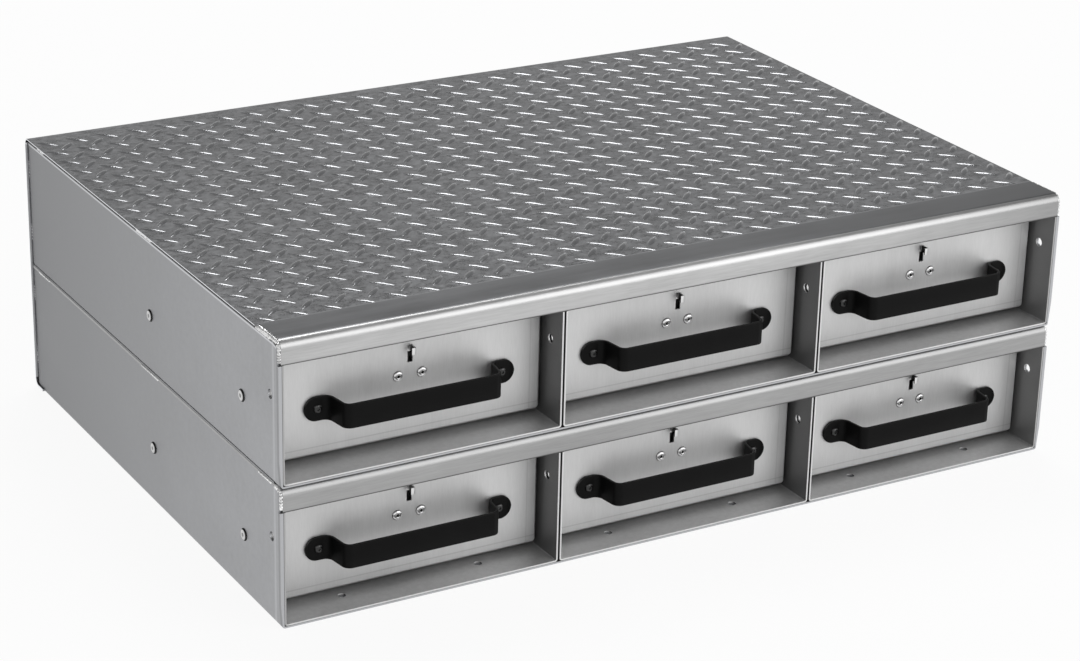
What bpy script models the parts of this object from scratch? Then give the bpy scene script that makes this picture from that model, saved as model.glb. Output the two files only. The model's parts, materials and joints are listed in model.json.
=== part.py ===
"""Aluminium drawer unit for a vehicle floor: two cases of three drawers under one tread plate.

Metres, +Z up. The origin is on the floor under the middle of the unit. The drawers open
towards -Y, and +X is on the right of someone who stands before them. Sheet metal pieces are
folded strips or pans with a thickness, and pieces that touch keep SEAT_GAP between them.
What is riveted or welded for good is one solid with the piece that carries it.
"""

import math
from collections import namedtuple

import bmesh
import bpy
from mathutils import Matrix, Vector

UNIT_NAME = "aluminum_drawer_unit"

# Overall size
UNIT_WIDTH = 1.0160
UNIT_DEPTH = 0.73025
TIER_HEIGHT = 0.1635
BAY_NAMES = ("left", "middle", "right")

# Sheets and clearances
PLATE_THICKNESS = 0.0032
SHEET_THICKNESS = 0.0020
MEMBER_THICKNESS = 0.0015
SEAT_GAP = 0.0003
RUNNING_GAP = 0.00035
FUSE_DEPTH = 0.0002
CUT_OVERRUN = 0.0040
MERGE_DISTANCE = 0.00001

# Tread plate cover, and the top sheet of the lower case
FASCIA_HEIGHT = 0.0275
PLATE_BEND_RADIUS = 0.0100
BACK_LIP_DEPTH = 0.0254

# Case skins, whose sides thicken at the front, out to the ends of the cover
SKIN_INSET = 0.0022
SKIN_BEND_RADIUS = 0.0025
SKIN_TOP_GAP = 0.0020
SEAM_GAP = 0.0006
SKIN_BACK_GAP = 0.0045
MARGIN_LIP = 0.0030
MARGIN_DEPTH = 0.0180
MARGIN_TAPER = 0.0300

# Drawer liners
LINER_SPACING = 0.0024
LINER_BEND_RADIUS = 0.0030
LINER_TOP_GAP = 0.0005
LINER_BACK_SETBACK = 0.0194

# Holes for the locking rod through the walls, and for bolts through the floor
ROD_HOLE_RADIUS = 0.0055
ROD_HOLE_SETBACK = 0.0254
ROD_HOLE_HEIGHT = 0.0985
FLOOR_HOLE_RADIUS = 0.00475
FLOOR_HOLE_SETBACK = 0.0335
FLOOR_HOLE_OFFSET = 0.0840

# Drawer slides: three nested members on each side, between a liner's wall and the tray
SLIDE_CENTRE_HEIGHT = 0.0690
SLIDE_HEIGHT = 0.0457
SLIDE_WIDTH = 0.0130
SLIDE_FRONT_GAP = 0.0005
SLIDE_BACK_MARGIN = 0.0430
CABINET_MEMBER_DEPTH = 0.0109
MEMBER_LIP = 0.0050
RIVET_TAIL_SPACE = 0.0018

# Rivets that hold the slides to the liners, and at the outer sides to the skins too
SLIDE_RIVET_SETBACKS = (0.0970, 0.3470)
SLIDE_RIVET_HEAD_RADIUS = 0.0070
SLIDE_RIVET_DOME = 0.0019
SLIDE_RIVET_FLAT = 0.0007
SLIDE_RIVET_SHANK_RADIUS = 0.0024
SLIDE_RIVET_TAIL_RADIUS = 0.0038
SLIDE_RIVET_TAIL = 0.0008

# Drawers
DRAWER_RECESS = 0.0381
FRONT_SIDE_GAP = 0.0040
FRONT_FLOOR_GAP = 0.0067
FRONT_TOP_GAP = 0.0020
FRONT_DEPTH = 0.0120
FRONT_BEND_RADIUS = 0.0035
TRAY_FLOOR_GAP = 0.0087
TRAY_TOP_DROP = 0.0110
TRAY_BACK_GAP = 0.0100
TRAY_RIM = 0.0080
TRAY_BEND_RADIUS = 0.0040

# Strap handle
HANDLE_CENTRE_HEIGHT = 0.0660
HANDLE_LENGTH = 0.2517
HANDLE_STRAP_WIDTH = 0.0280
HANDLE_THICKNESS = 0.0030
HANDLE_PROJECTION = 0.0369
HANDLE_FOOT_LENGTH = 0.02885
HANDLE_LEG_LEAN = 0.0045
HANDLE_FOOT_BEND_RADIUS = 0.0085
HANDLE_GRIP_BEND_RADIUS = 0.0100
HANDLE_SCREW_SETBACK = 0.01535
SCREW_HEAD_RADIUS = 0.0050
SCREW_HEAD_HEIGHT = 0.0026
SCREW_HEAD_CROWN = 0.0030
SCREW_SHANK_RADIUS = 0.0024
SCREW_NUT_RADIUS = 0.0045
SCREW_NUT_HEIGHT = 0.0040

# Sliding latch, its guide and its catch
SLOT_WIDTH = 0.0062
SLOT_HEIGHT = 0.0200
SLOT_TOP_DROP = 0.0165
TAB_SIDE_GAP = 0.0004
TAB_HEIGHT = 0.0080
TAB_PROJECTION = 0.0100
TAB_THICKNESS = 0.0015
TAB_BEND_RADIUS = 0.0020
LATCH_PLATE_WIDTH = 0.0180
LATCH_PLATE_THICKNESS = 0.0020
LATCH_PLATE_TAIL = 0.0120
LATCH_WINDOW_MARGIN = 0.0010
LATCH_NOTCH_GAP = 0.0006
TONGUE_RISE = 0.0008
CATCH_CLEARANCE = 0.0004
CATCH_WIDTH = 0.0300
CATCH_FLANGE = 0.0180
CATCH_BEND_RADIUS = 0.0030
GUIDE_HEIGHT = 0.0160
GUIDE_FOOT = 0.0100
BLIND_RIVET_OFFSET = 0.01435
BLIND_RIVET_DROP = 0.0140
BLIND_RIVET_HEAD_RADIUS = 0.0055
BLIND_RIVET_HEAD_HEIGHT = 0.0016
BLIND_RIVET_CORE_RADIUS = 0.0016
BLIND_RIVET_CORE_DEPTH = 0.0012
BLIND_RIVET_SHANK_RADIUS = 0.0024
BLIND_RIVET_TAIL = 0.0020

# Tack welds, along the sides as shares of the depth and up the back as shares of a tier
TACK_RADIUS = 0.0009
TOP_TACK_SHARES = ((0.030, 0.080), (0.457, 0.520), (0.915, 0.945))
SEAM_TACK_SHARES = ((0.030, 0.077), (0.445, 0.515), (0.910, 0.960))
BACK_TACK_SHARES = ((0.18, 0.34), (0.68, 0.84))

# Facets of arcs and round pieces
PLATE_BEND_STEPS = 4
SHEET_BEND_STEPS = 2
PAN_BEND_STEPS = 1
HANDLE_BEND_STEPS = 3
HANDLE_END_STEPS = 6
HOLE_SIDES = 8
WIDE_HOLE_SIDES = 10
RIVET_STEPS = 8
BLIND_RIVET_STEPS = 10
TACK_SIDES = 8

# Colour, roughness and metallic value of each finish
TREAD_PLATE = ((0.40, 0.40, 0.41), 0.35, 0.9)
MILL_SHEET = ((0.50, 0.50, 0.51), 0.45, 0.9)
BRUSHED_SHEET = ((0.62, 0.62, 0.63), 0.35, 0.9)
RIVET_METAL = ((0.70, 0.70, 0.71), 0.30, 1.0)
SLIDE_STEEL = ((0.58, 0.59, 0.60), 0.35, 1.0)
BLACK_COATING = ((0.015, 0.015, 0.017), 0.45, 0.0)

# Where the shared sizes lead
UNIT_HEIGHT = 2 * TIER_HEIGHT + PLATE_THICKNESS
HALF_WIDTH = UNIT_WIDTH / 2
FRONT_Y = -UNIT_DEPTH / 2
BACK_Y = UNIT_DEPTH / 2
SKIN_HALF_WIDTH = HALF_WIDTH - SKIN_INSET
SKIN_BACK_Y = BACK_Y - PLATE_THICKNESS - SKIN_BACK_GAP
LINER_BACK_Y = SKIN_BACK_Y - LINER_BACK_SETBACK
LINER_SPAN = 2 * (SKIN_HALF_WIDTH - SHEET_THICKNESS - SEAT_GAP)
BAY_PITCH = (LINER_SPAN + LINER_SPACING) / len(BAY_NAMES)
LINER_WIDTH = BAY_PITCH - LINER_SPACING
BAY_HALF_WIDTH = LINER_WIDTH / 2 - SHEET_THICKNESS
LINER_FLOOR = SHEET_THICKNESS + SEAT_GAP
LINER_FLOOR_TOP = LINER_FLOOR + SHEET_THICKNESS

# Heights in a drawer, over the bottom of its case, and depths behind its front face
FRONT_BOTTOM = LINER_FLOOR_TOP + FRONT_FLOOR_GAP
FRONT_TOP = TIER_HEIGHT - FASCIA_HEIGHT - FRONT_TOP_GAP
FRONT_HALF_WIDTH = BAY_HALF_WIDTH - FRONT_SIDE_GAP
TRAY_HALF_WIDTH = BAY_HALF_WIDTH - SLIDE_WIDTH
TRAY_FRONT = FRONT_DEPTH + SEAT_GAP
TRAY_BACK = LINER_BACK_Y - FRONT_Y - DRAWER_RECESS - TRAY_BACK_GAP
TRAY_BOTTOM = LINER_FLOOR_TOP + TRAY_FLOOR_GAP
TRAY_TOP = FRONT_TOP - TRAY_TOP_DROP
SLIDE_FRONT = FRONT_DEPTH + SLIDE_FRONT_GAP
SLIDE_LENGTH = LINER_BACK_Y - FRONT_Y - DRAWER_RECESS - SLIDE_FRONT - SLIDE_BACK_MARGIN
SLOT_TOP = FRONT_TOP - SLOT_TOP_DROP
SLOT_BOTTOM = SLOT_TOP - SLOT_HEIGHT
BLIND_RIVET_HEIGHT = SLOT_BOTTOM - BLIND_RIVET_DROP
LATCH_PLATE_FRONT = SHEET_THICKNESS + SEAT_GAP
LATCH_PLATE_BACK = LATCH_PLATE_FRONT + LATCH_PLATE_THICKNESS
TAB_TOP = SLOT_TOP - TAB_SIDE_GAP
TONGUE_TOP = FRONT_TOP + TONGUE_RISE

# Places along a handle, from its middle
HANDLE_SCREW_REACH = HANDLE_LENGTH / 2 - HANDLE_SCREW_SETBACK
HANDLE_FOOT_REACH = HANDLE_LENGTH / 2 - HANDLE_FOOT_LENGTH
HANDLE_GRIP_REACH = HANDLE_FOOT_REACH - HANDLE_LEG_LEAN

# Directions for the across, up and along values of a swept section
X_AXIS = Vector((1, 0, 0))
Y_AXIS = Vector((0, 1, 0))
Z_AXIS = Vector((0, 0, 1))
ALONG_X = (Y_AXIS, Z_AXIS, X_AXIS)
ALONG_Y = (X_AXIS, Z_AXIS, Y_AXIS)
ALONG_Z = (X_AXIS, Y_AXIS, Z_AXIS)

Tier = namedtuple("Tier", "name base ceiling")
TIERS = (
    Tier("lower", 0, TIER_HEIGHT - PLATE_THICKNESS),
    Tier("upper", TIER_HEIGHT + SEAT_GAP, UNIT_HEIGHT - PLATE_THICKNESS),
)
MIDDLE_BAY = (len(BAY_NAMES) - 1) / 2
BAYS = tuple((name, BAY_PITCH * (index - MIDDLE_BAY)) for index, name in enumerate(BAY_NAMES))


# Collections, objects and materials

def new_collection(name):
    collection = bpy.data.collections.new(name)
    bpy.context.scene.collection.children.link(collection)
    return collection


def new_object(name, mesh, collection, parent):
    item = bpy.data.objects.new(name, mesh)
    collection.objects.link(item)
    item.parent = parent
    return item


def mesh_from(bm, name):
    mesh = bpy.data.meshes.new(name)
    bm.to_mesh(mesh)
    bm.free()
    return mesh


def add_part(name, mesh, finish, parent=None):
    """Link a sub-part with a material of its own."""
    part = new_object(name, mesh, PARTS, parent)
    colour, roughness, metallic = finish
    material = bpy.data.materials.new(name)
    material.use_nodes = True
    surface = material.node_tree.nodes["Principled BSDF"].inputs
    surface["Base Color"].default_value = (*colour, 1)
    surface["Roughness"].default_value = roughness
    surface["Metallic"].default_value = metallic
    part.data.materials.append(material)
    return part


def add_cutter(name, mesh, parent=None):
    """Link a solid that only cuts a sub-part, or that a sub-part takes in."""
    cutter = new_object(name, mesh, CUTTERS, parent)
    cutter.hide_render = True
    cutter.display_type = 'WIRE'
    return cutter


def add_carrier(name, location, parent=None):
    """An empty on a joint's axis, which carries the pieces that move there."""
    carrier = new_object(name, None, PARTS, parent)
    carrier.location = location
    return carrier


# Modelling steps

def thicken(part, thickness):
    """Give an open sheet its thickness, on the side that it faces away from."""
    shell = part.modifiers.new("Sheet", 'SOLIDIFY')
    shell.thickness = thickness
    shell.offset = -1
    shell.use_even_offset = True


def combine(part, operation, others):
    for other in others:
        step = part.modifiers.new(other.name, 'BOOLEAN')
        step.operation = operation
        step.solver = 'EXACT'
        step.object = other


def cut(part, *cutters):
    combine(part, 'DIFFERENCE', cutters)


def join(part, *pieces):
    combine(part, 'UNION', pieces)


def rounded_path(corners, radii, steps):
    """Turn the inner corners of an open path into arcs, with one radius for each."""
    path = [Vector(corners[0])]
    for before, corner, after, radius in zip(corners, corners[1:], corners[2:], radii):
        corner = Vector(corner)
        back = (Vector(before) - corner).normalized()
        ahead = (Vector(after) - corner).normalized()
        half_angle = back.angle(ahead) / 2
        centre = corner + (back + ahead).normalized() * radius / math.sin(half_angle)
        start = corner + back * radius / math.tan(half_angle) - centre
        end = corner + ahead * radius / math.tan(half_angle) - centre
        turn = math.atan2(start.cross(end), start.dot(end))
        for step in range(steps + 1):
            angle = turn * step / steps
            cosine, sine = math.cos(angle), math.sin(angle)
            spoke = Vector((start.x * cosine - start.y * sine, start.x * sine + start.y * cosine))
            path.append(centre + spoke)
    path.append(Vector(corners[-1]))
    return path


def sweep(bm, path, axes, places):
    """Sweep an open path from place to place along the third axis. Its left side faces out."""
    across, up, along = axes
    row = [bm.verts.new(across * u + up * v + along * places[0]) for u, v in path]
    edges = [bm.edges.new(pair) for pair in zip(row, row[1:])]
    first_edge = edges[0]
    faces = []
    for near, far in zip(places, places[1:]):
        grown = bmesh.ops.extrude_edge_only(bm, edges=edges)["geom"]
        verts = [item for item in grown if isinstance(item, bmesh.types.BMVert)]
        faces += [item for item in grown if isinstance(item, bmesh.types.BMFace)]
        edges = [item for item in grown if isinstance(item, bmesh.types.BMEdge)
                 and item.verts[0] in verts and item.verts[1] in verts]
        bmesh.ops.translate(bm, verts=verts, vec=along * (far - near))
    bmesh.ops.recalc_face_normals(bm, faces=faces)
    run, rise = path[1][0] - path[0][0], path[1][1] - path[0][1]
    if first_edge.link_faces[0].normal.dot(up * run - across * rise) < 0:
        bmesh.ops.reverse_faces(bm, faces=faces)


def swept_mesh(name, path, axes, *places):
    bm = bmesh.new()
    sweep(bm, path, axes, places)
    return mesh_from(bm, name)


def mirrored(path):
    """The same path on the other side of the up axis, with its left side still facing out."""
    return [(-u, v) for u, v in reversed(path)]


def box_matrix(corner, opposite):
    corner, opposite = Vector(corner), Vector(opposite)
    size = [abs(extent) for extent in opposite - corner]
    return Matrix.Translation((corner + opposite) / 2) @ Matrix.Diagonal((*size, 1))


def box_mesh(name, *boxes):
    """Closed boxes, each between two opposite corners."""
    bm = bmesh.new()
    for corner, opposite in boxes:
        bmesh.ops.create_cube(bm, size=1, matrix=box_matrix(corner, opposite))
    return mesh_from(bm, name)


def lofted_mesh(name, *stacks):
    """Closed solids, each through rows of (outline in plan, height)."""
    bm = bmesh.new()
    for rows in stacks:
        rings = [[bm.verts.new((x, y, height)) for x, y in outline] for outline, height in rows]
        bm.faces.new(rings[0])
        bm.faces.new(rings[-1])
        for low, high in zip(rings, rings[1:]):
            for side in zip(low, low[1:] + low[:1], high[1:] + high[:1], high):
                bm.faces.new(side)
    bmesh.ops.recalc_face_normals(bm, faces=bm.faces)
    return mesh_from(bm, name)


def rods_mesh(name, axis, radius, length, places, sides):
    """Closed cylinders along an axis, centred on their places."""
    bm = bmesh.new()
    turn = Z_AXIS.rotation_difference(axis).to_matrix().to_4x4()
    for place in places:
        bmesh.ops.create_cone(bm, cap_ends=True, segments=sides, radius1=radius, radius2=radius,
                              depth=length, matrix=Matrix.Translation(place) @ turn)
    return mesh_from(bm, name)


def pan_mesh(name, low, high, open_side, radius, rim):
    """A sheet box without its open side, with rounded bends and a rim turned inwards."""
    bm = bmesh.new()
    bmesh.ops.create_cube(bm, size=1, matrix=box_matrix(low, high))
    lid = [face for face in bm.faces if face.normal.dot(open_side) > 0.5]
    bmesh.ops.delete(bm, geom=lid, context='FACES')
    bends = [edge for edge in bm.edges if not edge.is_boundary]
    bmesh.ops.bevel(bm, geom=bends, offset=radius, offset_type='OFFSET',
                    segments=PAN_BEND_STEPS, profile=0.5, affect='EDGES')
    if rim:
        middle = (Vector(low) + Vector(high)) / 2
        mouth = [edge for edge in bm.edges if edge.is_boundary]
        grown = bmesh.ops.extrude_edge_only(bm, edges=mouth)["geom"]
        for vert in (item for item in grown if isinstance(item, bmesh.types.BMVert)):
            vert.co.x -= math.copysign(rim, vert.co.x - middle.x)
            vert.co.y -= math.copysign(rim, vert.co.y - middle.y)
    bmesh.ops.recalc_face_normals(bm, faces=bm.faces)
    return mesh_from(bm, name)


def turned_mesh(name, profile, steps):
    """Turn a profile of (radius, height) points, listed down its outer side, about Z."""
    bm = bmesh.new()
    verts = [bm.verts.new((radius, 0, height)) for radius, height in profile]
    for pair in zip(verts, verts[1:]):
        bm.edges.new(pair)
    blank = new_object(name, mesh_from(bm, name), PARTS, None)
    lathe = blank.modifiers.new("Turn", 'SCREW')
    lathe.steps = lathe.render_steps = steps
    lathe.use_merge_vertices = True
    lathe.merge_threshold = MERGE_DISTANCE
    bpy.context.view_layer.update()
    turned = bpy.data.meshes.new_from_object(
        blank.evaluated_get(bpy.context.evaluated_depsgraph_get()))
    bpy.data.objects.remove(blank)
    return turned


def gathered_mesh(name, placed):
    """One mesh of separate solids, from pairs of a mesh and its matrix."""
    gathered = bmesh.new()
    for mesh, matrix in placed:
        single = mesh.copy()
        single.transform(matrix)
        gathered.from_mesh(single)
        bpy.data.meshes.remove(single)
    return mesh_from(gathered, name)


def facing(axis, place):
    """The matrix that stands a piece turned about Z on its place, facing along an axis."""
    turn = Z_AXIS.rotation_difference(axis).to_matrix().to_4x4()
    return Matrix.Translation(place) @ turn


# Fixed sheet metal and its welds

def bead(axis, start, end, radius):
    """A tack weld: a bead with tapered ends, between two places on an axis."""
    half = (Vector(end) - Vector(start)).length / 2
    profile = [(0, half), (radius, half - radius), (radius, radius - half), (0, -half)]
    return turned_mesh("bead", profile, TACK_SIDES), facing(axis, (Vector(start) + Vector(end)) / 2)


def side_tacks(x, height, shares):
    """Beads along both sides of the unit at a height, between shares of its depth."""
    return [bead(Y_AXIS, (side * x, FRONT_Y + near * UNIT_DEPTH, height),
                 (side * x, FRONT_Y + far * UNIT_DEPTH, height), TACK_RADIUS)
            for side in (-1, 1) for near, far in shares]


def cover_welds():
    """Beads in the corners between the cover and the sides, and up the back edges of the skins."""
    tacks = side_tacks(HALF_WIDTH - SEAT_GAP - TACK_RADIUS,
                       UNIT_HEIGHT - PLATE_THICKNESS - TACK_RADIUS + FUSE_DEPTH, TOP_TACK_SHARES)
    radius = (SKIN_BACK_GAP - SEAT_GAP + FUSE_DEPTH) / 2
    x = SKIN_HALF_WIDTH - radius
    y = SKIN_BACK_Y + SEAT_GAP + radius
    for tier in TIERS:
        for low, high in BACK_TACK_SHARES:
            for side in (-1, 1):
                start = (side * x, y, tier.base + low * TIER_HEIGHT)
                end = (side * x, y, tier.base + high * TIER_HEIGHT)
                tacks.append(bead(Z_AXIS, start, end, radius))
    return add_cutter("cover_welds", gathered_mesh("cover_welds", tacks))


def tread_plate_cover():
    """Fascia, top, back and the lip under the back, folded from one tread plate."""
    corners = ((FRONT_Y, UNIT_HEIGHT - FASCIA_HEIGHT), (FRONT_Y, UNIT_HEIGHT), (BACK_Y, UNIT_HEIGHT),
               (BACK_Y, 0), (BACK_Y - BACK_LIP_DEPTH, 0))
    path = rounded_path(corners, [PLATE_BEND_RADIUS] * 3, PLATE_BEND_STEPS)
    mesh = swept_mesh("tread_plate_cover", path, ALONG_X, -HALF_WIDTH, HALF_WIDTH)
    cover = add_part("tread_plate_cover", mesh, TREAD_PLATE)
    thicken(cover, PLATE_THICKNESS)
    join(cover, cover_welds())


def lower_top_sheet():
    """Top of the lower case with its fascia, which is as wide as the front of the skins."""
    name = "lower_top_sheet"
    corners = ((FRONT_Y, TIER_HEIGHT - FASCIA_HEIGHT), (FRONT_Y, TIER_HEIGHT),
               (SKIN_BACK_Y, TIER_HEIGHT))
    path = rounded_path(corners, [PLATE_BEND_RADIUS], PLATE_BEND_STEPS)
    half_width = HALF_WIDTH - SEAT_GAP
    sheet = add_part(name, swept_mesh(name, path, ALONG_X, -half_width, half_width), MILL_SHEET)
    thicken(sheet, PLATE_THICKNESS)
    trims = [((side * SKIN_HALF_WIDTH, FRONT_Y + MARGIN_DEPTH, TIER_HEIGHT - FASCIA_HEIGHT),
              (side * (HALF_WIDTH + CUT_OVERRUN), BACK_Y, TIER_HEIGHT + CUT_OVERRUN))
             for side in (-1, 1)]
    cut(sheet, add_cutter(name + "_trim", box_mesh(name + "_trim", *trims)))
    tacks = side_tacks(SKIN_HALF_WIDTH + TACK_RADIUS - FUSE_DEPTH,
                       TIER_HEIGHT - PLATE_THICKNESS / 2, SEAM_TACK_SHARES)
    join(sheet, add_cutter("seam_welds", gathered_mesh("seam_welds", tacks)))


def plate_clearance(name, corners):
    """Room for a bend of a plate, whose outer face runs CUT_OVERRUN inside these corners."""
    path = rounded_path(corners, [PLATE_BEND_RADIUS + CUT_OVERRUN], PLATE_BEND_STEPS)
    reach = HALF_WIDTH + CUT_OVERRUN
    clearance = add_cutter(name, swept_mesh(name, path, ALONG_X, -reach, reach))
    thicken(clearance, PLATE_THICKNESS + SEAT_GAP + CUT_OVERRUN)
    return clearance


def fascia_clearance(tier):
    """Room for the fascia and front bend of the sheet above a case."""
    top = tier.ceiling + PLATE_THICKNESS
    return plate_clearance(tier.name + "_fascia_clearance", (
        (FRONT_Y - CUT_OVERRUN, top - FASCIA_HEIGHT - SEAT_GAP),
        (FRONT_Y - CUT_OVERRUN, top + CUT_OVERRUN),
        (FRONT_Y + 2 * PLATE_BEND_RADIUS, top + CUT_OVERRUN)))


def wall_holes(name, radius, setbacks, height, sides):
    """Round holes straight through every wall of a case."""
    places = [(0, FRONT_Y + setback, height) for setback in setbacks]
    length = UNIT_WIDTH + 2 * CUT_OVERRUN
    return add_cutter(name, rods_mesh(name, X_AXIS, radius, length, places, sides))


def rod_holes(tier):
    return wall_holes(tier.name + "_rod_holes", ROD_HOLE_RADIUS, [ROD_HOLE_SETBACK],
                      tier.base + ROD_HOLE_HEIGHT, WIDE_HOLE_SIDES)


def rivet_holes(tier):
    return wall_holes(tier.name + "_rivet_holes", SLIDE_RIVET_SHANK_RADIUS + SEAT_GAP,
                      SLIDE_RIVET_SETBACKS, tier.base + SLIDE_CENTRE_HEIGHT, HOLE_SIDES)


def floor_holes():
    """Bolt holes through the skin and the liners of the lower case."""
    places = [(centre + side * FLOOR_HOLE_OFFSET, FRONT_Y + FLOOR_HOLE_SETBACK, LINER_FLOOR)
              for _, centre in BAYS for side in (-1, 1)]
    length = 2 * (LINER_FLOOR_TOP + CUT_OVERRUN)
    return add_cutter("floor_holes", rods_mesh("floor_holes", Z_AXIS, FLOOR_HOLE_RADIUS, length,
                                               places, WIDE_HOLE_SIDES))


def back_lip_clearance():
    """Room for the cover's back lip and its bend, under the lower case."""
    return plate_clearance("back_lip_clearance", (
        (BACK_Y + CUT_OVERRUN, 2 * PLATE_BEND_RADIUS),
        (BACK_Y + CUT_OVERRUN, -CUT_OVERRUN),
        (BACK_Y - BACK_LIP_DEPTH - SEAT_GAP, -CUT_OVERRUN)))


def margin_outline(outer):
    """A wedge in plan from the right side of a skin out to its front edge."""
    inner = SKIN_HALF_WIDTH - FUSE_DEPTH
    return [(inner, FRONT_Y), (outer, FRONT_Y), (outer, FRONT_Y + MARGIN_LIP),
            (inner, FRONT_Y + MARGIN_DEPTH)]


def skin_margins(name, bottom, top):
    """Wedges that thicken both sides of a skin towards its front edge, tapered to its bottom."""
    thin = margin_outline(SKIN_HALF_WIDTH - FUSE_DEPTH / 2)
    full = margin_outline(HALF_WIDTH - SEAT_GAP)
    rows = [(thin, bottom + SKIN_BEND_RADIUS), (full, bottom + MARGIN_TAPER), (full, top)]
    opposite = [(mirrored(outline), height) for outline, height in rows]
    return add_cutter(name, lofted_mesh(name, rows, opposite))


def case_skin(tier, cutters):
    """Both sides and the bottom of a case, folded from one sheet."""
    top = tier.ceiling - (SEAM_GAP if tier is TIERS[0] else SKIN_TOP_GAP)
    corners = ((SKIN_HALF_WIDTH, top), (SKIN_HALF_WIDTH, tier.base),
               (-SKIN_HALF_WIDTH, tier.base), (-SKIN_HALF_WIDTH, top))
    path = rounded_path(corners, [SKIN_BEND_RADIUS] * 2, SHEET_BEND_STEPS)
    name = tier.name + "_case_skin"
    skin = add_part(name, swept_mesh(name, path, ALONG_Y, FRONT_Y, SKIN_BACK_Y), MILL_SHEET)
    thicken(skin, SHEET_THICKNESS)
    join(skin, skin_margins(name + "_margins", tier.base, top))
    cut(skin, *cutters)


def latch_catch(tier, bay):
    """An angle under the sheet above a drawer, whose edge stops the latch's tongue."""
    bay_name, centre = bay
    name = f"{tier.name}_{bay_name}_latch_catch"
    front = FRONT_Y + DRAWER_RECESS
    ceiling = tier.ceiling - SEAT_GAP
    edge = tier.base + TONGUE_TOP + CATCH_CLEARANCE
    corners = ((front, edge), (front, ceiling), (front + CATCH_FLANGE, ceiling))
    path = rounded_path(corners, [CATCH_BEND_RADIUS], SHEET_BEND_STEPS)
    mesh = swept_mesh(name, path, ALONG_X, centre - CATCH_WIDTH / 2, centre + CATCH_WIDTH / 2)
    thicken(add_part(name, mesh, MILL_SHEET), SHEET_THICKNESS)


# Drawer slides, as sections across the space from a bay's wall to its tray

def channel_section(near, far, half_height):
    """A channel with turned-in lips, open towards the drawer."""
    lip_edge = half_height - MEMBER_LIP
    return [(far, -lip_edge), (far, -half_height), (near, -half_height), (near, half_height),
            (far, half_height), (far, lip_edge)]


def member_sections():
    """The cabinet, middle and drawer members, one inside the other."""
    play = MEMBER_THICKNESS + RUNNING_GAP
    half_height = SLIDE_HEIGHT / 2
    cabinet = channel_section(-FUSE_DEPTH, CABINET_MEMBER_DEPTH, half_height)
    middle_mouth = CABINET_MEMBER_DEPTH - play
    middle_half = half_height - play
    middle = channel_section(MEMBER_THICKNESS + RIVET_TAIL_SPACE, middle_mouth, middle_half)
    foot_face = middle_mouth - play
    leg = middle_half - MEMBER_LIP - RUNNING_GAP
    toe = middle_half - play
    web = SLIDE_WIDTH + FUSE_DEPTH
    drawer_member = [(foot_face, toe), (foot_face, leg), (web, leg), (web, -leg),
                     (foot_face, -leg), (foot_face, -toe)]
    return cabinet, middle, drawer_member


CABINET_SECTION, MIDDLE_SECTION, DRAWER_SECTION = member_sections()


def member_mesh(name, section, sides, place):
    """Members at the left (-1) or right (1) of a bay, behind a place in its middle."""
    x, y, z = place
    bm = bmesh.new()
    for side in sides:
        left = [(u - BAY_HALF_WIDTH, v) for u, v in section]
        path = [(x + u, z + v) for u, v in (left if side < 0 else mirrored(left))]
        sweep(bm, path, ALONG_Y, (y, y + SLIDE_LENGTH))
    return mesh_from(bm, name)


def rivet_profile(head, grip):
    """A rivet's head, its shank, and its tail from the grip's end on."""
    shank, tail = SLIDE_RIVET_SHANK_RADIUS, SLIDE_RIVET_TAIL_RADIUS
    seat = head[-1][1]
    return head + [(shank, seat), (shank, FUSE_DEPTH - grip), (tail, FUSE_DEPTH - grip),
                   (tail, -grip - SLIDE_RIVET_TAIL), (0, -grip - SLIDE_RIVET_TAIL)]


def slide_rivets(tier, bay):
    """Rivets of a bay's slides: domed through the outer walls, flat through the others."""
    bay_name, centre = bay
    radius = SLIDE_RIVET_HEAD_RADIUS
    flat_head = [(0, SLIDE_RIVET_FLAT), (radius, SLIDE_RIVET_FLAT), (radius, -FUSE_DEPTH)]
    round_head = [(radius * math.sin(angle), SLIDE_RIVET_DOME * math.cos(angle))
                  for angle in (0, math.pi / 4, math.pi / 2)]
    flat_grip = SHEET_THICKNESS + MEMBER_THICKNESS - FUSE_DEPTH
    round_grip = flat_grip + SHEET_THICKNESS + 2 * SEAT_GAP
    flat = turned_mesh("flat_rivet", rivet_profile(flat_head, flat_grip), RIVET_STEPS)
    domed = turned_mesh("domed_rivet", rivet_profile(round_head, round_grip), RIVET_STEPS)
    placed = []
    for side in (-1, 1):
        face = centre + side * LINER_WIDTH / 2
        outermost = abs(face) > BAY_PITCH
        seat = side * (SKIN_HALF_WIDTH + SEAT_GAP) if outermost else face
        for setback in SLIDE_RIVET_SETBACKS:
            place = (seat, FRONT_Y + setback, tier.base + SLIDE_CENTRE_HEIGHT)
            placed.append((domed if outermost else flat, facing(X_AXIS * side, place)))
    name = f"{tier.name}_{bay_name}_slide_rivets"
    return add_cutter(name, gathered_mesh(name, placed))


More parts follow.
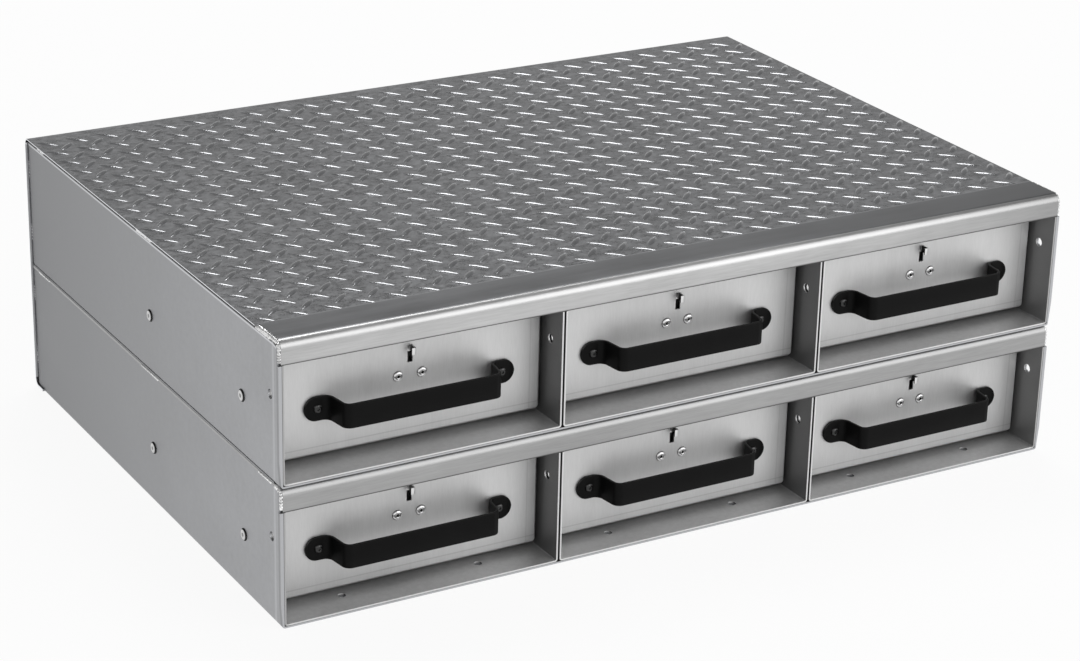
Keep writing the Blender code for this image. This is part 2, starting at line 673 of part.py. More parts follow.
def drawer_liner(tier, bay, cutters):
    """Floor and walls of a bay, folded from one sheet, with the riveted cabinet members."""
    bay_name, centre = bay
    half = LINER_WIDTH / 2
    floor = tier.base + LINER_FLOOR
    top = tier.ceiling - LINER_TOP_GAP
    corners = ((centre + half, top), (centre + half, floor), (centre - half, floor),
               (centre - half, top))
    path = rounded_path(corners, [LINER_BEND_RADIUS] * 2, SHEET_BEND_STEPS)
    name = f"{tier.name}_{bay_name}_liner"
    liner = add_part(name, swept_mesh(name, path, ALONG_Y, FRONT_Y, LINER_BACK_Y), MILL_SHEET)
    thicken(liner, SHEET_THICKNESS)
    cut(liner, *cutters)
    place = (centre, FRONT_Y + DRAWER_RECESS + SLIDE_FRONT, tier.base + SLIDE_CENTRE_HEIGHT)
    members_name = f"{tier.name}_{bay_name}_cabinet_members"
    members = add_cutter(members_name, member_mesh(members_name, CABINET_SECTION, (-1, 1), place))
    thicken(members, MEMBER_THICKNESS)
    join(liner, members, slide_rivets(tier, bay))


# Drawers, each in the frame of its carrier: the middle of its front face, over the case's bottom

def drawer_tray(name, carrier):
    """An open box with a rim turned inwards, and the drawer members of its slides."""
    low = (-TRAY_HALF_WIDTH, TRAY_FRONT, TRAY_BOTTOM)
    high = (TRAY_HALF_WIDTH, TRAY_BACK, TRAY_TOP)
    mesh = pan_mesh(name, low, high, Z_AXIS, TRAY_BEND_RADIUS, TRAY_RIM)
    tray = add_part(name, mesh, BRUSHED_SHEET, carrier)
    thicken(tray, SHEET_THICKNESS)
    place = (0, SLIDE_FRONT, SLIDE_CENTRE_HEIGHT)
    members = add_cutter(name + "_members",
                         member_mesh(name + "_members", DRAWER_SECTION, (-1, 1), place), carrier)
    thicken(members, MEMBER_THICKNESS)
    join(tray, members)


def front_openings(name, carrier):
    """The latch slot, and the notch that lets the latch's tongue out at the top."""
    half_notch = LATCH_PLATE_WIDTH / 2 + LATCH_NOTCH_GAP
    slot = ((-SLOT_WIDTH / 2, -CUT_OVERRUN, SLOT_BOTTOM), (SLOT_WIDTH / 2, FRONT_DEPTH, SLOT_TOP))
    notch = ((-half_notch, SHEET_THICKNESS, FRONT_TOP - FRONT_BEND_RADIUS - SHEET_THICKNESS),
             (half_notch, FRONT_DEPTH + CUT_OVERRUN, FRONT_TOP + CUT_OVERRUN))
    return add_cutter(name, box_mesh(name, slot, notch), carrier)


def fastener_holes(name, carrier):
    """Holes for the handle's screws and the latch guide's rivets."""
    screws = [(side * HANDLE_SCREW_REACH, 0, HANDLE_CENTRE_HEIGHT) for side in (-1, 1)]
    rivets = [(side * BLIND_RIVET_OFFSET, 0, BLIND_RIVET_HEIGHT) for side in (-1, 1)]
    radius = max(SCREW_SHANK_RADIUS, BLIND_RIVET_SHANK_RADIUS) + SEAT_GAP
    mesh = rods_mesh(name, Y_AXIS, radius, 2 * FRONT_DEPTH, screws + rivets, HOLE_SIDES)
    return add_cutter(name, mesh, carrier)


def drawer_front(name, carrier):
    low = (-FRONT_HALF_WIDTH, 0, FRONT_BOTTOM)
    high = (FRONT_HALF_WIDTH, FRONT_DEPTH, FRONT_TOP)
    mesh = pan_mesh(name, low, high, Y_AXIS, FRONT_BEND_RADIUS, 0)
    front = add_part(name, mesh, BRUSHED_SHEET, carrier)
    thicken(front, SHEET_THICKNESS)
    cut(front, front_openings(name + "_openings", carrier), fastener_holes(name + "_holes", carrier))


def strap_mesh(name):
    """The handle's visible face: feet, legs and grip, with round feet ends."""
    foot_y = -SEAT_GAP - HANDLE_THICKNESS
    corners = ((HANDLE_LENGTH / 2, foot_y), (HANDLE_FOOT_REACH, foot_y),
               (HANDLE_GRIP_REACH, -HANDLE_PROJECTION), (-HANDLE_GRIP_REACH, -HANDLE_PROJECTION),
               (-HANDLE_FOOT_REACH, foot_y), (-HANDLE_LENGTH / 2, foot_y))
    radii = (HANDLE_FOOT_BEND_RADIUS, HANDLE_GRIP_BEND_RADIUS, HANDLE_GRIP_BEND_RADIUS,
             HANDLE_FOOT_BEND_RADIUS)
    bm = bmesh.new()
    low = HANDLE_CENTRE_HEIGHT - HANDLE_STRAP_WIDTH / 2
    sweep(bm, rounded_path(corners, radii, HANDLE_BEND_STEPS), ALONG_Z,
          (low, low + HANDLE_STRAP_WIDTH))
    end_x = HANDLE_LENGTH / 2 - MERGE_DISTANCE
    ends = [vert for vert in bm.verts if abs(vert.co.x) > end_x]
    bmesh.ops.bevel(bm, geom=ends, offset=HANDLE_STRAP_WIDTH / 2 - SEAT_GAP, segments=HANDLE_END_STEPS,
                    profile=0.5, affect='VERTICES')
    return mesh_from(bm, name)


def handle_screws(name, carrier):
    """Button-head screws through the strap and the drawer front, with their nuts behind it."""
    grip = HANDLE_THICKNESS + SHEET_THICKNESS + 2 * SEAT_GAP
    profile = [(0, SCREW_HEAD_HEIGHT), (SCREW_HEAD_CROWN, SCREW_HEAD_HEIGHT),
               (SCREW_HEAD_RADIUS, -FUSE_DEPTH), (SCREW_SHANK_RADIUS, -FUSE_DEPTH),
               (SCREW_SHANK_RADIUS, -grip), (SCREW_NUT_RADIUS, -grip),
               (SCREW_NUT_RADIUS, -grip - SCREW_NUT_HEIGHT), (0, -grip - SCREW_NUT_HEIGHT)]
    screw = turned_mesh(name, profile, RIVET_STEPS)
    face_y = -SEAT_GAP - HANDLE_THICKNESS
    places = [(side * HANDLE_SCREW_REACH, face_y, HANDLE_CENTRE_HEIGHT) for side in (-1, 1)]
    placed = [(screw, facing(-Y_AXIS, place)) for place in places]
    return add_cutter(name, gathered_mesh(name, placed), carrier)


def handle(name, carrier):
    strap = add_part(name, strap_mesh(name), BLACK_COATING, carrier)
    thicken(strap, HANDLE_THICKNESS)
    join(strap, handle_screws(name + "_screws", carrier))


def blind_rivets(name, carrier):
    """Blind rivets through the drawer front and the latch guide, hollow where the mandrel was."""
    grip = SHEET_THICKNESS + MEMBER_THICKNESS + 2 * SEAT_GAP
    head, core, shank = BLIND_RIVET_HEAD_RADIUS, BLIND_RIVET_CORE_RADIUS, BLIND_RIVET_SHANK_RADIUS
    height = BLIND_RIVET_HEAD_HEIGHT
    profile = [(0, height - BLIND_RIVET_CORE_DEPTH), (core, height - BLIND_RIVET_CORE_DEPTH),
               (core, height), ((core + head) / 2, height), (head, 0), (shank, 0),
               (shank, -grip - BLIND_RIVET_TAIL), (0, -grip - BLIND_RIVET_TAIL)]
    rivet = turned_mesh(name, profile, BLIND_RIVET_STEPS)
    places = [(side * BLIND_RIVET_OFFSET, -SEAT_GAP, BLIND_RIVET_HEIGHT) for side in (-1, 1)]
    placed = [(rivet, facing(-Y_AXIS, place)) for place in places]
    return add_cutter(name, gathered_mesh(name, placed), carrier)


def latch_guide(name, carrier):
    """A hat-shaped bracket behind the front, in which the latch slides, with its rivets."""
    foot_face = SHEET_THICKNESS + SEAT_GAP + MEMBER_THICKNESS
    crown_face = LATCH_PLATE_BACK + RUNNING_GAP + MEMBER_THICKNESS
    leg = LATCH_PLATE_WIDTH / 2 + RUNNING_GAP + MEMBER_THICKNESS
    corners = [(-leg - GUIDE_FOOT, foot_face), (-leg, foot_face), (-leg, crown_face),
               (leg, crown_face), (leg, foot_face), (leg + GUIDE_FOOT, foot_face)]
    low = BLIND_RIVET_HEIGHT - GUIDE_HEIGHT / 2
    mesh = swept_mesh(name, corners, ALONG_Z, low, low + GUIDE_HEIGHT)
    guide = add_part(name, mesh, RIVET_METAL, carrier)
    thicken(guide, MEMBER_THICKNESS)
    join(guide, blind_rivets(name + "_rivets", carrier))


def thumb_tab(name, origin, carrier):
    """The folded tab that a thumb pushes down: a web from the plate, and a face at its front."""
    half_width = SLOT_WIDTH / 2 - TAB_SIDE_GAP
    root_y = (LATCH_PLATE_FRONT + LATCH_PLATE_BACK) / 2
    corners = ((half_width, root_y - origin.y), (half_width, -TAB_PROJECTION - origin.y),
               (-half_width, -TAB_PROJECTION - origin.y))
    path = rounded_path(corners, [TAB_BEND_RADIUS], SHEET_BEND_STEPS)
    mesh = swept_mesh(name, path, ALONG_Z, TAB_TOP - TAB_HEIGHT - origin.z, TAB_TOP - origin.z)
    tab = add_cutter(name, mesh, carrier)
    thicken(tab, TAB_THICKNESS)
    return tab


def latch_bolt(name, drawer_carrier):
    """The sliding plate with its tongue at the top, its thumb tab and a window under the tab."""
    origin = Vector((0, LATCH_PLATE_FRONT, TAB_TOP - TAB_HEIGHT / 2))
    carrier = add_carrier(name + "_carrier", origin, drawer_carrier)
    tail = BLIND_RIVET_HEIGHT - LATCH_PLATE_TAIL
    plate = (Vector((-LATCH_PLATE_WIDTH / 2, LATCH_PLATE_FRONT, tail)) - origin,
             Vector((LATCH_PLATE_WIDTH / 2, LATCH_PLATE_BACK, TONGUE_TOP)) - origin)
    latch = add_part(name, box_mesh(name, plate), MILL_SHEET, carrier)
    half_window = SLOT_WIDTH / 2 + LATCH_WINDOW_MARGIN
    window = (Vector((-half_window, 0, SLOT_BOTTOM - LATCH_WINDOW_MARGIN)) - origin,
              Vector((half_window, FRONT_DEPTH, TAB_TOP - TAB_HEIGHT)) - origin)
    cut(latch, add_cutter(name + "_window", box_mesh(name + "_window", window), carrier))
    join(latch, thumb_tab(name + "_tab", origin, carrier))


def middle_members(prefix, place):
    """The middle members at both sides of a drawer, which follow it at half its travel."""
    carrier = add_carrier(prefix + "slide_middle", place)
    for side, side_name in ((-1, "left"), (1, "right")):
        name = f"{prefix}{side_name}_slide_member"
        mesh = member_mesh(name, MIDDLE_SECTION, (side,), (0, 0, 0))
        thicken(add_part(name, mesh, SLIDE_STEEL, carrier), MEMBER_THICKNESS)


def drawer(tier, bay):
    """A drawer with its handle and latch, and the slide members between it and the case."""
    bay_name, centre = bay
    prefix = f"{tier.name}_{bay_name}_"
    front_y = FRONT_Y + DRAWER_RECESS
    carrier = add_carrier(prefix + "drawer", (centre, front_y, tier.base))
    drawer_tray(prefix + "drawer_tray", carrier)
    drawer_front(prefix + "drawer_front", carrier)
    handle(prefix + "handle", carrier)
    latch_guide(prefix + "latch_guide", carrier)
    latch_bolt(prefix + "latch_bolt", carrier)
    middle_members(prefix, (centre, front_y + SLIDE_FRONT, tier.base + SLIDE_CENTRE_HEIGHT))


def tier_pieces(tier):
    """The skin of a case, and its liners, drawers and latch catches."""
    cutters = [rod_holes(tier), fascia_clearance(tier)]
    skin_cutters = [rivet_holes(tier)]
    if tier is TIERS[0]:
        cutters.append(floor_holes())
        skin_cutters.append(back_lip_clearance())
    case_skin(tier, cutters + skin_cutters)
    for bay in BAYS:
        drawer_liner(tier, bay, cutters)
        drawer(tier, bay)
        latch_catch(tier, bay)


for leftover in list(bpy.data.objects):
    bpy.data.objects.remove(leftover)
PARTS = new_collection(UNIT_NAME)
CUTTERS = new_collection("cutters")

tread_plate_cover()
lower_top_sheet()
for level in TIERS:
    tier_pieces(level)
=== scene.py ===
"""Looks of the aluminium drawer unit: tread plate, folded sheets, welds, rivets and handles."""

import json
import math

import bmesh
import bpy
from mathutils import Matrix, Vector, noise

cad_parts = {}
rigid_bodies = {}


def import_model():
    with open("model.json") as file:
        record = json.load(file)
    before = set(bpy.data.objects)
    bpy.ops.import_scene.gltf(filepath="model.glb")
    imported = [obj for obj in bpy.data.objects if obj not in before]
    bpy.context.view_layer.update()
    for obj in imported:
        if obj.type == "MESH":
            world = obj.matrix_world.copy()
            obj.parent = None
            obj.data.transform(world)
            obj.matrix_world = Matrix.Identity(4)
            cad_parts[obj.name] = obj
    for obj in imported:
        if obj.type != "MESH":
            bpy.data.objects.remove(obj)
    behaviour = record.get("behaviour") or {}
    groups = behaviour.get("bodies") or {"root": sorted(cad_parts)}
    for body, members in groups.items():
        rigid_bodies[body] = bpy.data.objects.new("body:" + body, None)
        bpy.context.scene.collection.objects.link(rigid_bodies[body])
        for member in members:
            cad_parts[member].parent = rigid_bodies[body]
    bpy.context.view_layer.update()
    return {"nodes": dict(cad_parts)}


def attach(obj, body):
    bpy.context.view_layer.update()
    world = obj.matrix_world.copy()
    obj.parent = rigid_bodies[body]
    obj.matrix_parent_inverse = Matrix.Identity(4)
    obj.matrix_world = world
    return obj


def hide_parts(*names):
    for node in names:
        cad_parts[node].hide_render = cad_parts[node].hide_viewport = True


for leftover in list(bpy.data.objects):
    bpy.data.objects.remove(leftover)
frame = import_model()

# Sizes in metres, as in the solids
HALF_WIDTH = 0.508
FRONT_Y = -0.365125
BACK_Y = 0.365125
DEPTH = BACK_Y - FRONT_Y
UNIT_HEIGHT = 0.3302
TIER_HEIGHT = 0.1635
PLATE_THICKNESS = 0.0032
SIDE_TOP = UNIT_HEIGHT - PLATE_THICKNESS
FASCIA_HEIGHT = 0.0275
BEND_RADIUS = 0.0100
BACK_LIP_DEPTH = 0.0254
SKIN_HALF_WIDTH = 0.5058
SKIN_BACK_Y = 0.357425
MARGIN_DEPTH = 0.0180
SEAT_GAP = 0.0003
TIERS = (("lower", 0.0), ("upper", TIER_HEIGHT + SEAT_GAP))
BAYS = (("left", -0.336467), ("middle", 0.0), ("right", 0.336467))
FACE_Y = FRONT_Y + 0.0381
BEND_STEPS = 14
SHEET_EDGE = 0.0004
SHEET_BEVEL_ANGLE = 50

# The cover's face is lowered between its plain band on the top and a strip low on the back, so
# that the lugs on it stay inside the solid's box
BAND_END = 0.0545
BAND_SLOPE = 0.0025
BAND_MARGIN = 0.0010
FASCIA_BEND_SHARE = 0.7
BACK_STRIP_TOP = 0.0270
BACK_SLOPE_TOP = 0.0300

# Lugs of the tread plate: places from the left end and the front, sizes, and shares of half a
# lug's length and width at which its shape is set
LUG_PITCH_X = 0.0388
LUG_PITCH_Y = 0.0369
LUG_FIRST_X = 0.0147
LUG_FIRST_Y = 0.0658
LUG_COLUMNS = range(-1, 28)
LUG_ROWS = range(34)
LUG_LENGTH = 0.0310
LUG_WIDTH = 0.0080
LUG_HEIGHT = 0.0016
LUG_SINK = 0.00002
LUG_END_GAP = 0.0003
LUG_FLAT_END = 0.0010
LUG_FADE = 0.0080
LUG_LENGTH_SHARES = (-1, -0.9, -0.75, -0.5, -0.25, 0, 0.25, 0.5, 0.75, 0.9, 1)
LUG_WIDTH_SHARES = (-1, -0.86, -0.6, -0.25, 0.25, 0.6, 0.86, 1)
LUG_TIP_SHARE = 0.06
LUG_PLAN_POWERS = (2.2, 0.75)
LUG_CROWN_POWERS = (2.0, 2.1)
LUG_REACH_SHARE = 0.8
LUG_BACK_SHARE = 0.6
BEND_SAVING = 0.0043

# Weld beads: their rings, the taper of their ends, their ripples and their lumps
CORNER_BEAD = 0.0056
CORNER_BEAD_ROOM_SHARE = 0.6
CORNER_BEAD_RISE_SHARE = 0.3
BEAD_STEP = 0.0006
BEAD_LEAST_STEPS = 6
BEAD_SIDES = 10
BEAD_TIP = 0.0002
BEAD_TAPER_SHARE = 0.9
BEAD_LEAST_SHARE = 0.12
RIPPLE_PITCH = 0.0037
RIPPLE_SHARES = (0.58, 0.42)
RIPPLE_DRIFT, RIPPLE_DRIFT_SCALE = 1.6, 160
LUMP_SHARE, LUMP_SCALE = 0.45, 420

# Where the beads are, as shares of the depth or of a tier's height, and how they sit
TOP_TACKS = ((0.030, 0.080), (0.457, 0.520), (0.915, 0.945))
TOP_TACK_RADIUS = 0.0024
TOP_TACK_INSET = 0.0025
TOP_TACK_DROP = 0.0012
SEAM_TACKS = ((0.030, 0.077), (0.445, 0.515), (0.910, 0.960))
SEAM_TACK_RADIUS = 0.0017
SEAM_TACK_INSET = 0.0018
BACK_TACKS = ((0.18, 0.34), (0.68, 0.84))
BACK_TACK_RADIUS = 0.00215
BACK_TACK_INSET = 0.0018
BACK_TACK_SETBACK = 0.00225
CORNER_BEAD_INSET = 0.0001

# Top sheet of the lower case, lips in the seams, and hems at the ends of the cover's back
LOWER_BEND_END = 0.0120
LOWER_SHEET_OVERHANG = 0.0008
SEAM_LIP = ((0.5036, -0.0001), (0.5062, -0.0001), (0.5063, 0.0009), (0.5059, 0.0015),
            (0.5050, 0.0011))
HEM_MIDDLE = (0.5054, 0.3607, 0.16775)
HEM_SIZE = (0.0050, 0.0036, 0.3115)
HEM_EDGE = 0.0006

# Heads as (radius, height) profiles from the middle outwards, and where they sit
HEAD_SIDES = 24
SLIDE_RIVET_PROFILE = ((0, 0.0008), (0.0019, 0.0009), (0.0022, 0.0017), (0.0034, 0.0019),
                       (0.0047, 0.0018), (0.0058, 0.0014), (0.0067, 0.0008), (0.0073, 0.0),
                       (0.0073, -0.0001))
SLIDE_RIVET_SEAT = 0.0002
SLIDE_RIVET_RIM = 0.0014
SLIDE_RIVET_SETBACKS = (0.0970, 0.3470)
SLIDE_RIVET_HEIGHT = 0.0690
BLIND_RIVET_PROFILE = ((0, 0.0006), (0.0013, 0.0006), (0.0014, 0.0012), (0.0020, 0.0017),
                       (0.0028, 0.0020), (0.0036, 0.0020), (0.0045, 0.0017), (0.0053, 0.0012),
                       (0.0058, 0.0005), (0.0061, 0.0))
BLIND_RIVET_SEAT = 0.0002
BLIND_RIVET_PIN = 0.0014
BLIND_RIVET_RIM = 0.0056
BLIND_RIVET_SPREAD = 0.01435
BLIND_RIVET_HEIGHT = 0.0835
SCREW_PROFILE = ((0, 0.0009), (0.0012, 0.0010), (0.0015, 0.0024), (0.0026, 0.0025),
                 (0.0038, 0.0021), (0.0047, 0.0013), (0.0051, 0.0003), (0.0051, -0.0002))
SCREW_SEAT = 0.0033
SCREW_SPREAD = 0.1105

# Strap handles: the middle line's corners in plan, from the drawer's face, and the section
HANDLE_HEIGHT = 0.0660
STRAP_HALF_LENGTH = 0.12585
STRAP_FOOT_REACH = 0.0970
STRAP_GRIP_REACH = 0.0925
STRAP_FOOT_Y = -0.0018
STRAP_GRIP_Y = -0.0354
STRAP_FOOT_RADIUS = 0.0100
STRAP_GRIP_RADIUS = 0.0085
STRAP_HALF_WIDTH = 0.0140
STRAP_HALF_THICKNESS = 0.0015
STRAP_EDGE_RADIUS = 0.0007
STRAP_EDGE_SHARE = 0.3
STRAP_TIP = 0.0004
STRAP_STEPS = 12
SAME_PLACE = 0.000001

# Carried-over solids
WELD_DISTANCE = 0.000005
BEVEL_ANGLE = 62
SPLIT_ANGLE = 50
FINE_BEVEL = 0.00025
LATCH_BEVEL = 0.0003

# Floor, studio and camera, fitted to the photograph
FLOOR_REACH = 12
FLOOR_DROP = 0.0003
FLOOR_ALBEDO = (0.9, 0.9, 0.9, 1)
FLOOR_ROUGHNESS = 0.9
FLOOR_GLOW = 0.92
COVERED_FLOOR_INSET = 0.012
COVERED_FLOOR_DROP = 0.0001
SKY_BEHIND = ((0.0, 0.95), (0.30, 0.38))
SKY_IN_FRONT = ((0.0, 0.95), (0.50, 0.95), (0.75, 0.38))
SKY_TURN = ((0.05, 0.0), (0.55, 1.0))
CAMERA_LENS = 96.976
CAMERA_SENSOR = 36
CAMERA_CLIP = (0.1, 50)
CAMERA_PLACE = (-1.65229, -2.85744, 1.47327)
CAMERA_RIGHT = Vector((0.86851, -0.49513, 0.02328))
CAMERA_DOWN = Vector((-0.1698, -0.34131, -0.92449))
CAMERA_FORWARD = Vector((0.46568, 0.79897, -0.3805))

# Lengths along a path that count as the same
TINY = 1e-9


# Materials

def linear(value):
    """The linear light of a display tone from 0 to 255."""
    value /= 255
    return value / 12.92 if value <= 0.04045 else ((value + 0.055) / 1.055) ** 2.4


def grey(value, tint=(1, 1, 1)):
    return tuple(linear(value) * share for share in tint)


class Nodes:
    """The node tree of a material or a world, with short ways to add and link nodes."""

    def __init__(self, owner):
        self.owner = owner
        owner.use_nodes = True
        self.tree = owner.node_tree

    @property
    def surface(self):
        return self.tree.nodes["Principled BSDF"]

    def add(self, kind, **values):
        node = self.tree.nodes.new(kind)
        for key, value in values.items():
            setattr(node, key, value)
        return node

    def link(self, source, target):
        self.tree.links.new(source, target)

    def coordinates(self, scale):
        place = self.add('ShaderNodeTexCoord')
        mapping = self.add('ShaderNodeMapping')
        mapping.inputs["Scale"].default_value = scale
        self.link(place.outputs["Object"], mapping.inputs["Vector"])
        return mapping.outputs["Vector"]

    def noise(self, scale, detail=3.0, stretch=(1, 1, 1), roughness=0.5):
        texture = self.add('ShaderNodeTexNoise')
        texture.inputs["Scale"].default_value = scale
        texture.inputs["Detail"].default_value = detail
        texture.inputs["Roughness"].default_value = roughness
        self.link(self.coordinates(stretch), texture.inputs["Vector"])
        return texture.outputs["Fac"]

    def ranged(self, value, low, high, source=(0.3, 0.7)):
        node = self.add('ShaderNodeMapRange')
        node.inputs["From Min"].default_value = source[0]
        node.inputs["From Max"].default_value = source[1]
        node.inputs["To Min"].default_value = low
        node.inputs["To Max"].default_value = high
        self.link(value, node.inputs["Value"])
        return node.outputs["Result"]

    def math(self, operation, first, second=None):
        node = self.add('ShaderNodeMath', operation=operation)
        for socket, value in zip(node.inputs, (first, second)):
            if value is None:
                continue
            if isinstance(value, (int, float)):
                socket.default_value = value
            else:
                self.link(value, socket)
        return node.outputs[0]

    def weighed(self, *parts):
        """The sum of (value, weight) parts."""
        value, weight = parts[0]
        total = self.math('MULTIPLY', value, weight)
        for value, weight in parts[1:]:
            total = self.math('ADD', total, self.math('MULTIPLY', value, weight))
        return total

    def mixed(self, fac, low, high):
        """From a low to a high colour, each a constant or another node's output."""
        node = self.add('ShaderNodeMix', data_type='RGBA')
        colours = [socket for socket in node.inputs if socket.type == 'RGBA']
        for socket, colour in zip(colours, (low, high)):
            if isinstance(colour, tuple):
                socket.default_value = (*colour, 1)
            else:
                self.link(colour, socket)
        self.link(fac, node.inputs["Factor"])
        return [socket for socket in node.outputs if socket.type == 'RGBA'][0]

    def ramp(self, source, *stops):
        """Greys between (position, value) stops."""
        node = self.add('ShaderNodeValToRGB')
        self.link(source, node.inputs["Fac"])
        elements = node.color_ramp.elements
        while len(elements) < len(stops):
            elements.new(0.5)
        for element, (position, value) in zip(elements, stops):
            element.position, element.color = position, (value, value, value, 1)
        return node.outputs["Color"]

    def axis(self, kind, name):
        """One coordinate of a point in the object's space or its box, or of a direction."""
        place = self.add('ShaderNodeTexCoord')
        split = self.add('ShaderNodeSeparateXYZ')
        self.link(place.outputs[kind], split.inputs["Vector"])
        return split.outputs[name]

    def near(self, value, centre, reach):
        """1 at a place along an axis, falling to 0 at a distance from it."""
        away = self.math('ABSOLUTE', self.math('SUBTRACT', value, centre))
        return self.ranged(away, 1, 0, (0, reach))

    def bump(self, height, strength, distance):
        node = self.add('ShaderNodeBump')
        node.inputs["Strength"].default_value = strength
        node.inputs["Distance"].default_value = distance
        self.link(height, node.inputs["Height"])
        self.link(node.outputs["Normal"], self.surface.inputs["Normal"])


# Mottling of the metals: the weights of its grain, the range that is stretched to full contrast
# and how far the gloss goes to both sides
STREAK_SHARE = 0.35
BROAD_AND_CLOUDS = 0.65
PATCH_SCALE = 9.0
NOISE_RANGE = (0.36, 0.64)
CONTRAST = 2.2
GLOSS_SPREAD = (-0.05, 0.06)
BUMP_SHARES = (0.7, 0.3)
METAL_BUMP = 0.0004

# Black coating: its peel, and the painted sheen on the faces that look up at a slant
PEEL_SCALE, PEEL_BUMP, PEEL_STRENGTH = 1400.0, 0.0002, 0.10
COATING_CLOUDS = 40.0
COATING_SPREAD = 4
COATING_GLOSS = (-0.04, 0.05)
PAINTED_SHEEN_SLANT, PAINTED_SHEEN_REACH, PAINTED_SHEEN_STRENGTH, PAINTED_SHEEN_TONE = 0.62, 0.35, 0.7, 105


def metal(name, tone, rough, stretch=(1, 1, 1), grain=900.0, spread=0.07, bump=0.05, lines=(),
          clouds=0.30, metallic=1.0, coarse=14, tint=(1, 1, 1)):
    """Rolled or brushed aluminium: stretched grain, cloudy patches and an uneven gloss.

    Each line is (coordinates, axis, place, reach, tone, strength): another tone that is strongest
    at a place along an axis and ends at a reach from it. Along a normal, it is on the faces that
    look that way, which paints light or shade on them.
    """
    made = Nodes(bpy.data.materials.new(name))
    streaks = made.noise(grain, detail=4.0, stretch=stretch, roughness=0.6)
    broad = made.noise(grain / coarse, stretch=stretch, roughness=0.55)
    patches = made.noise(PATCH_SCALE, detail=4.0)
    value = made.weighed((streaks, STREAK_SHARE), (broad, BROAD_AND_CLOUDS - clouds),
                         (patches, clouds))
    value = made.ranged(value, 0, 1, NOISE_RANGE)
    dark, bright = [tuple(channel * (1 + side * CONTRAST * spread) for channel in grey(tone, tint))
                    for side in (-1, 1)]
    colour = made.mixed(value, dark, bright)
    for kind, axis, place, reach, line_tone, strength in lines:
        line = made.math('MULTIPLY', made.near(made.axis(kind, axis), place, reach), strength)
        colour = made.mixed(line, colour, grey(line_tone, tint))
    made.link(colour, made.surface.inputs["Base Color"])
    gloss = made.ranged(value, rough + GLOSS_SPREAD[0], rough + GLOSS_SPREAD[1], (0, 1))
    made.link(gloss, made.surface.inputs["Roughness"])
    made.surface.inputs["Metallic"].default_value = metallic
    height = made.weighed((streaks, BUMP_SHARES[0]), (broad, BUMP_SHARES[1]))
    made.bump(height, bump, METAL_BUMP)
    return made.owner


def black_coating(name, tone, rough, specular):
    """Black powder coat with a fine orange-peel surface and a painted sheen along its upper edges.
    """
    made = Nodes(bpy.data.materials.new(name))
    peel = made.noise(PEEL_SCALE, detail=2.0)
    clouds = made.noise(COATING_CLOUDS)
    colour = made.mixed(clouds, grey(tone - COATING_SPREAD), grey(tone + COATING_SPREAD))
    # Painted highlight: faces that look up at a slant, as on the rounded upper edges, are made
    # paler
    slanted = made.near(made.axis('Normal', 'Z'), PAINTED_SHEEN_SLANT, PAINTED_SHEEN_REACH)
    painted_sheen = made.math('MULTIPLY', slanted, PAINTED_SHEEN_STRENGTH)
    made.link(made.mixed(painted_sheen, colour, grey(PAINTED_SHEEN_TONE)), made.surface.inputs["Base Color"])
    gloss = made.ranged(clouds, rough + COATING_GLOSS[0], rough + COATING_GLOSS[1])
    made.link(gloss, made.surface.inputs["Roughness"])
    made.surface.inputs["Specular IOR Level"].default_value = specular
    made.bump(peel, PEEL_STRENGTH, PEEL_BUMP)
    return made.owner


COOL = (0.988, 1.0, 1.030)
ALONG_X = (0.04, 1, 1)
# Painted shadow: a dark line along the bottom edge of each fascia
FASCIA_EDGE_SHADOW = [('Object', 'Z', top - FASCIA_HEIGHT + 0.0004, 0.0016, 70, 1.0)
                for top in (TIER_HEIGHT, UNIT_HEIGHT)]
# The tread plate's end faces, picked by the way they look, get a painted highlight
TREAD = metal("tread_plate_metal", 141, 0.30, stretch=(1, 1.6, 1), grain=420.0, spread=0.17,
              bump=0.14, clouds=0.08, coarse=4, tint=COOL,
              lines=[('Normal', 'X', side, 0.3, 250, 1.0) for side in (-1.0, 1.0)])
LUG = metal("tread_lug_metal", 145, 0.17, grain=420.0, spread=0.06, bump=0.70, tint=COOL)
# The band on top is a darker copy of the fascia's brushed metal: painted shade for the faces that
# look up. Painted shade also darkens it towards the right end, and a painted highlight runs along
# the edge where it steps down to the lugs.
BAND_TOP = metal("tread_band_metal", 125, 0.34, stretch=ALONG_X, grain=700.0, spread=0.08,
                 tint=COOL, lines=[('Object', 'X', HALF_WIDTH, 0.45, 85, 0.4),
                                   ('Object', 'Y', FRONT_Y + BAND_END, 0.0026, 190, 0.6)])
# The fascia's brushed metal, with painted shade towards the right end
BAND = metal("brushed_fascia_metal", 188, 0.34, stretch=ALONG_X,
             lines=[('Object', 'X', HALF_WIDTH, 0.30, 120, 0.45)] + FASCIA_EDGE_SHADOW)
LOWER_BAND = metal("brushed_lower_fascia_metal", 162, 0.34, stretch=ALONG_X, lines=FASCIA_EDGE_SHADOW)

# The sides are darkened towards the back with painted shade. Under the cover they have a painted
# shadow line over a painted highlight, the front margins a painted highlight on their fold and a
# darker front edge, and faces to the front are made light as painted light.
MILL = metal("mill_metal", 169, 0.44, stretch=(1, 0.25, 0.25), grain=500.0, spread=0.06,
             bump=0.06, clouds=0.45, tint=COOL,
             lines=[('Object', 'Y', BACK_Y, DEPTH, 118, 0.72),
                    ('Object', 'Z', SIDE_TOP - 0.0056, 0.0018, 225, 0.9),
                    ('Object', 'Z', SIDE_TOP - 0.0022, 0.0026, 20, 1.8),
                    ('Object', 'Y', FRONT_Y + MARGIN_DEPTH - 0.001, 0.004, 205, 0.5),
                    ('Object', 'Y', FRONT_Y + 0.0035, 0.0035, 90, 0.45),
                    ('Normal', 'Y', -1.0, 0.5, 190, 0.8)])
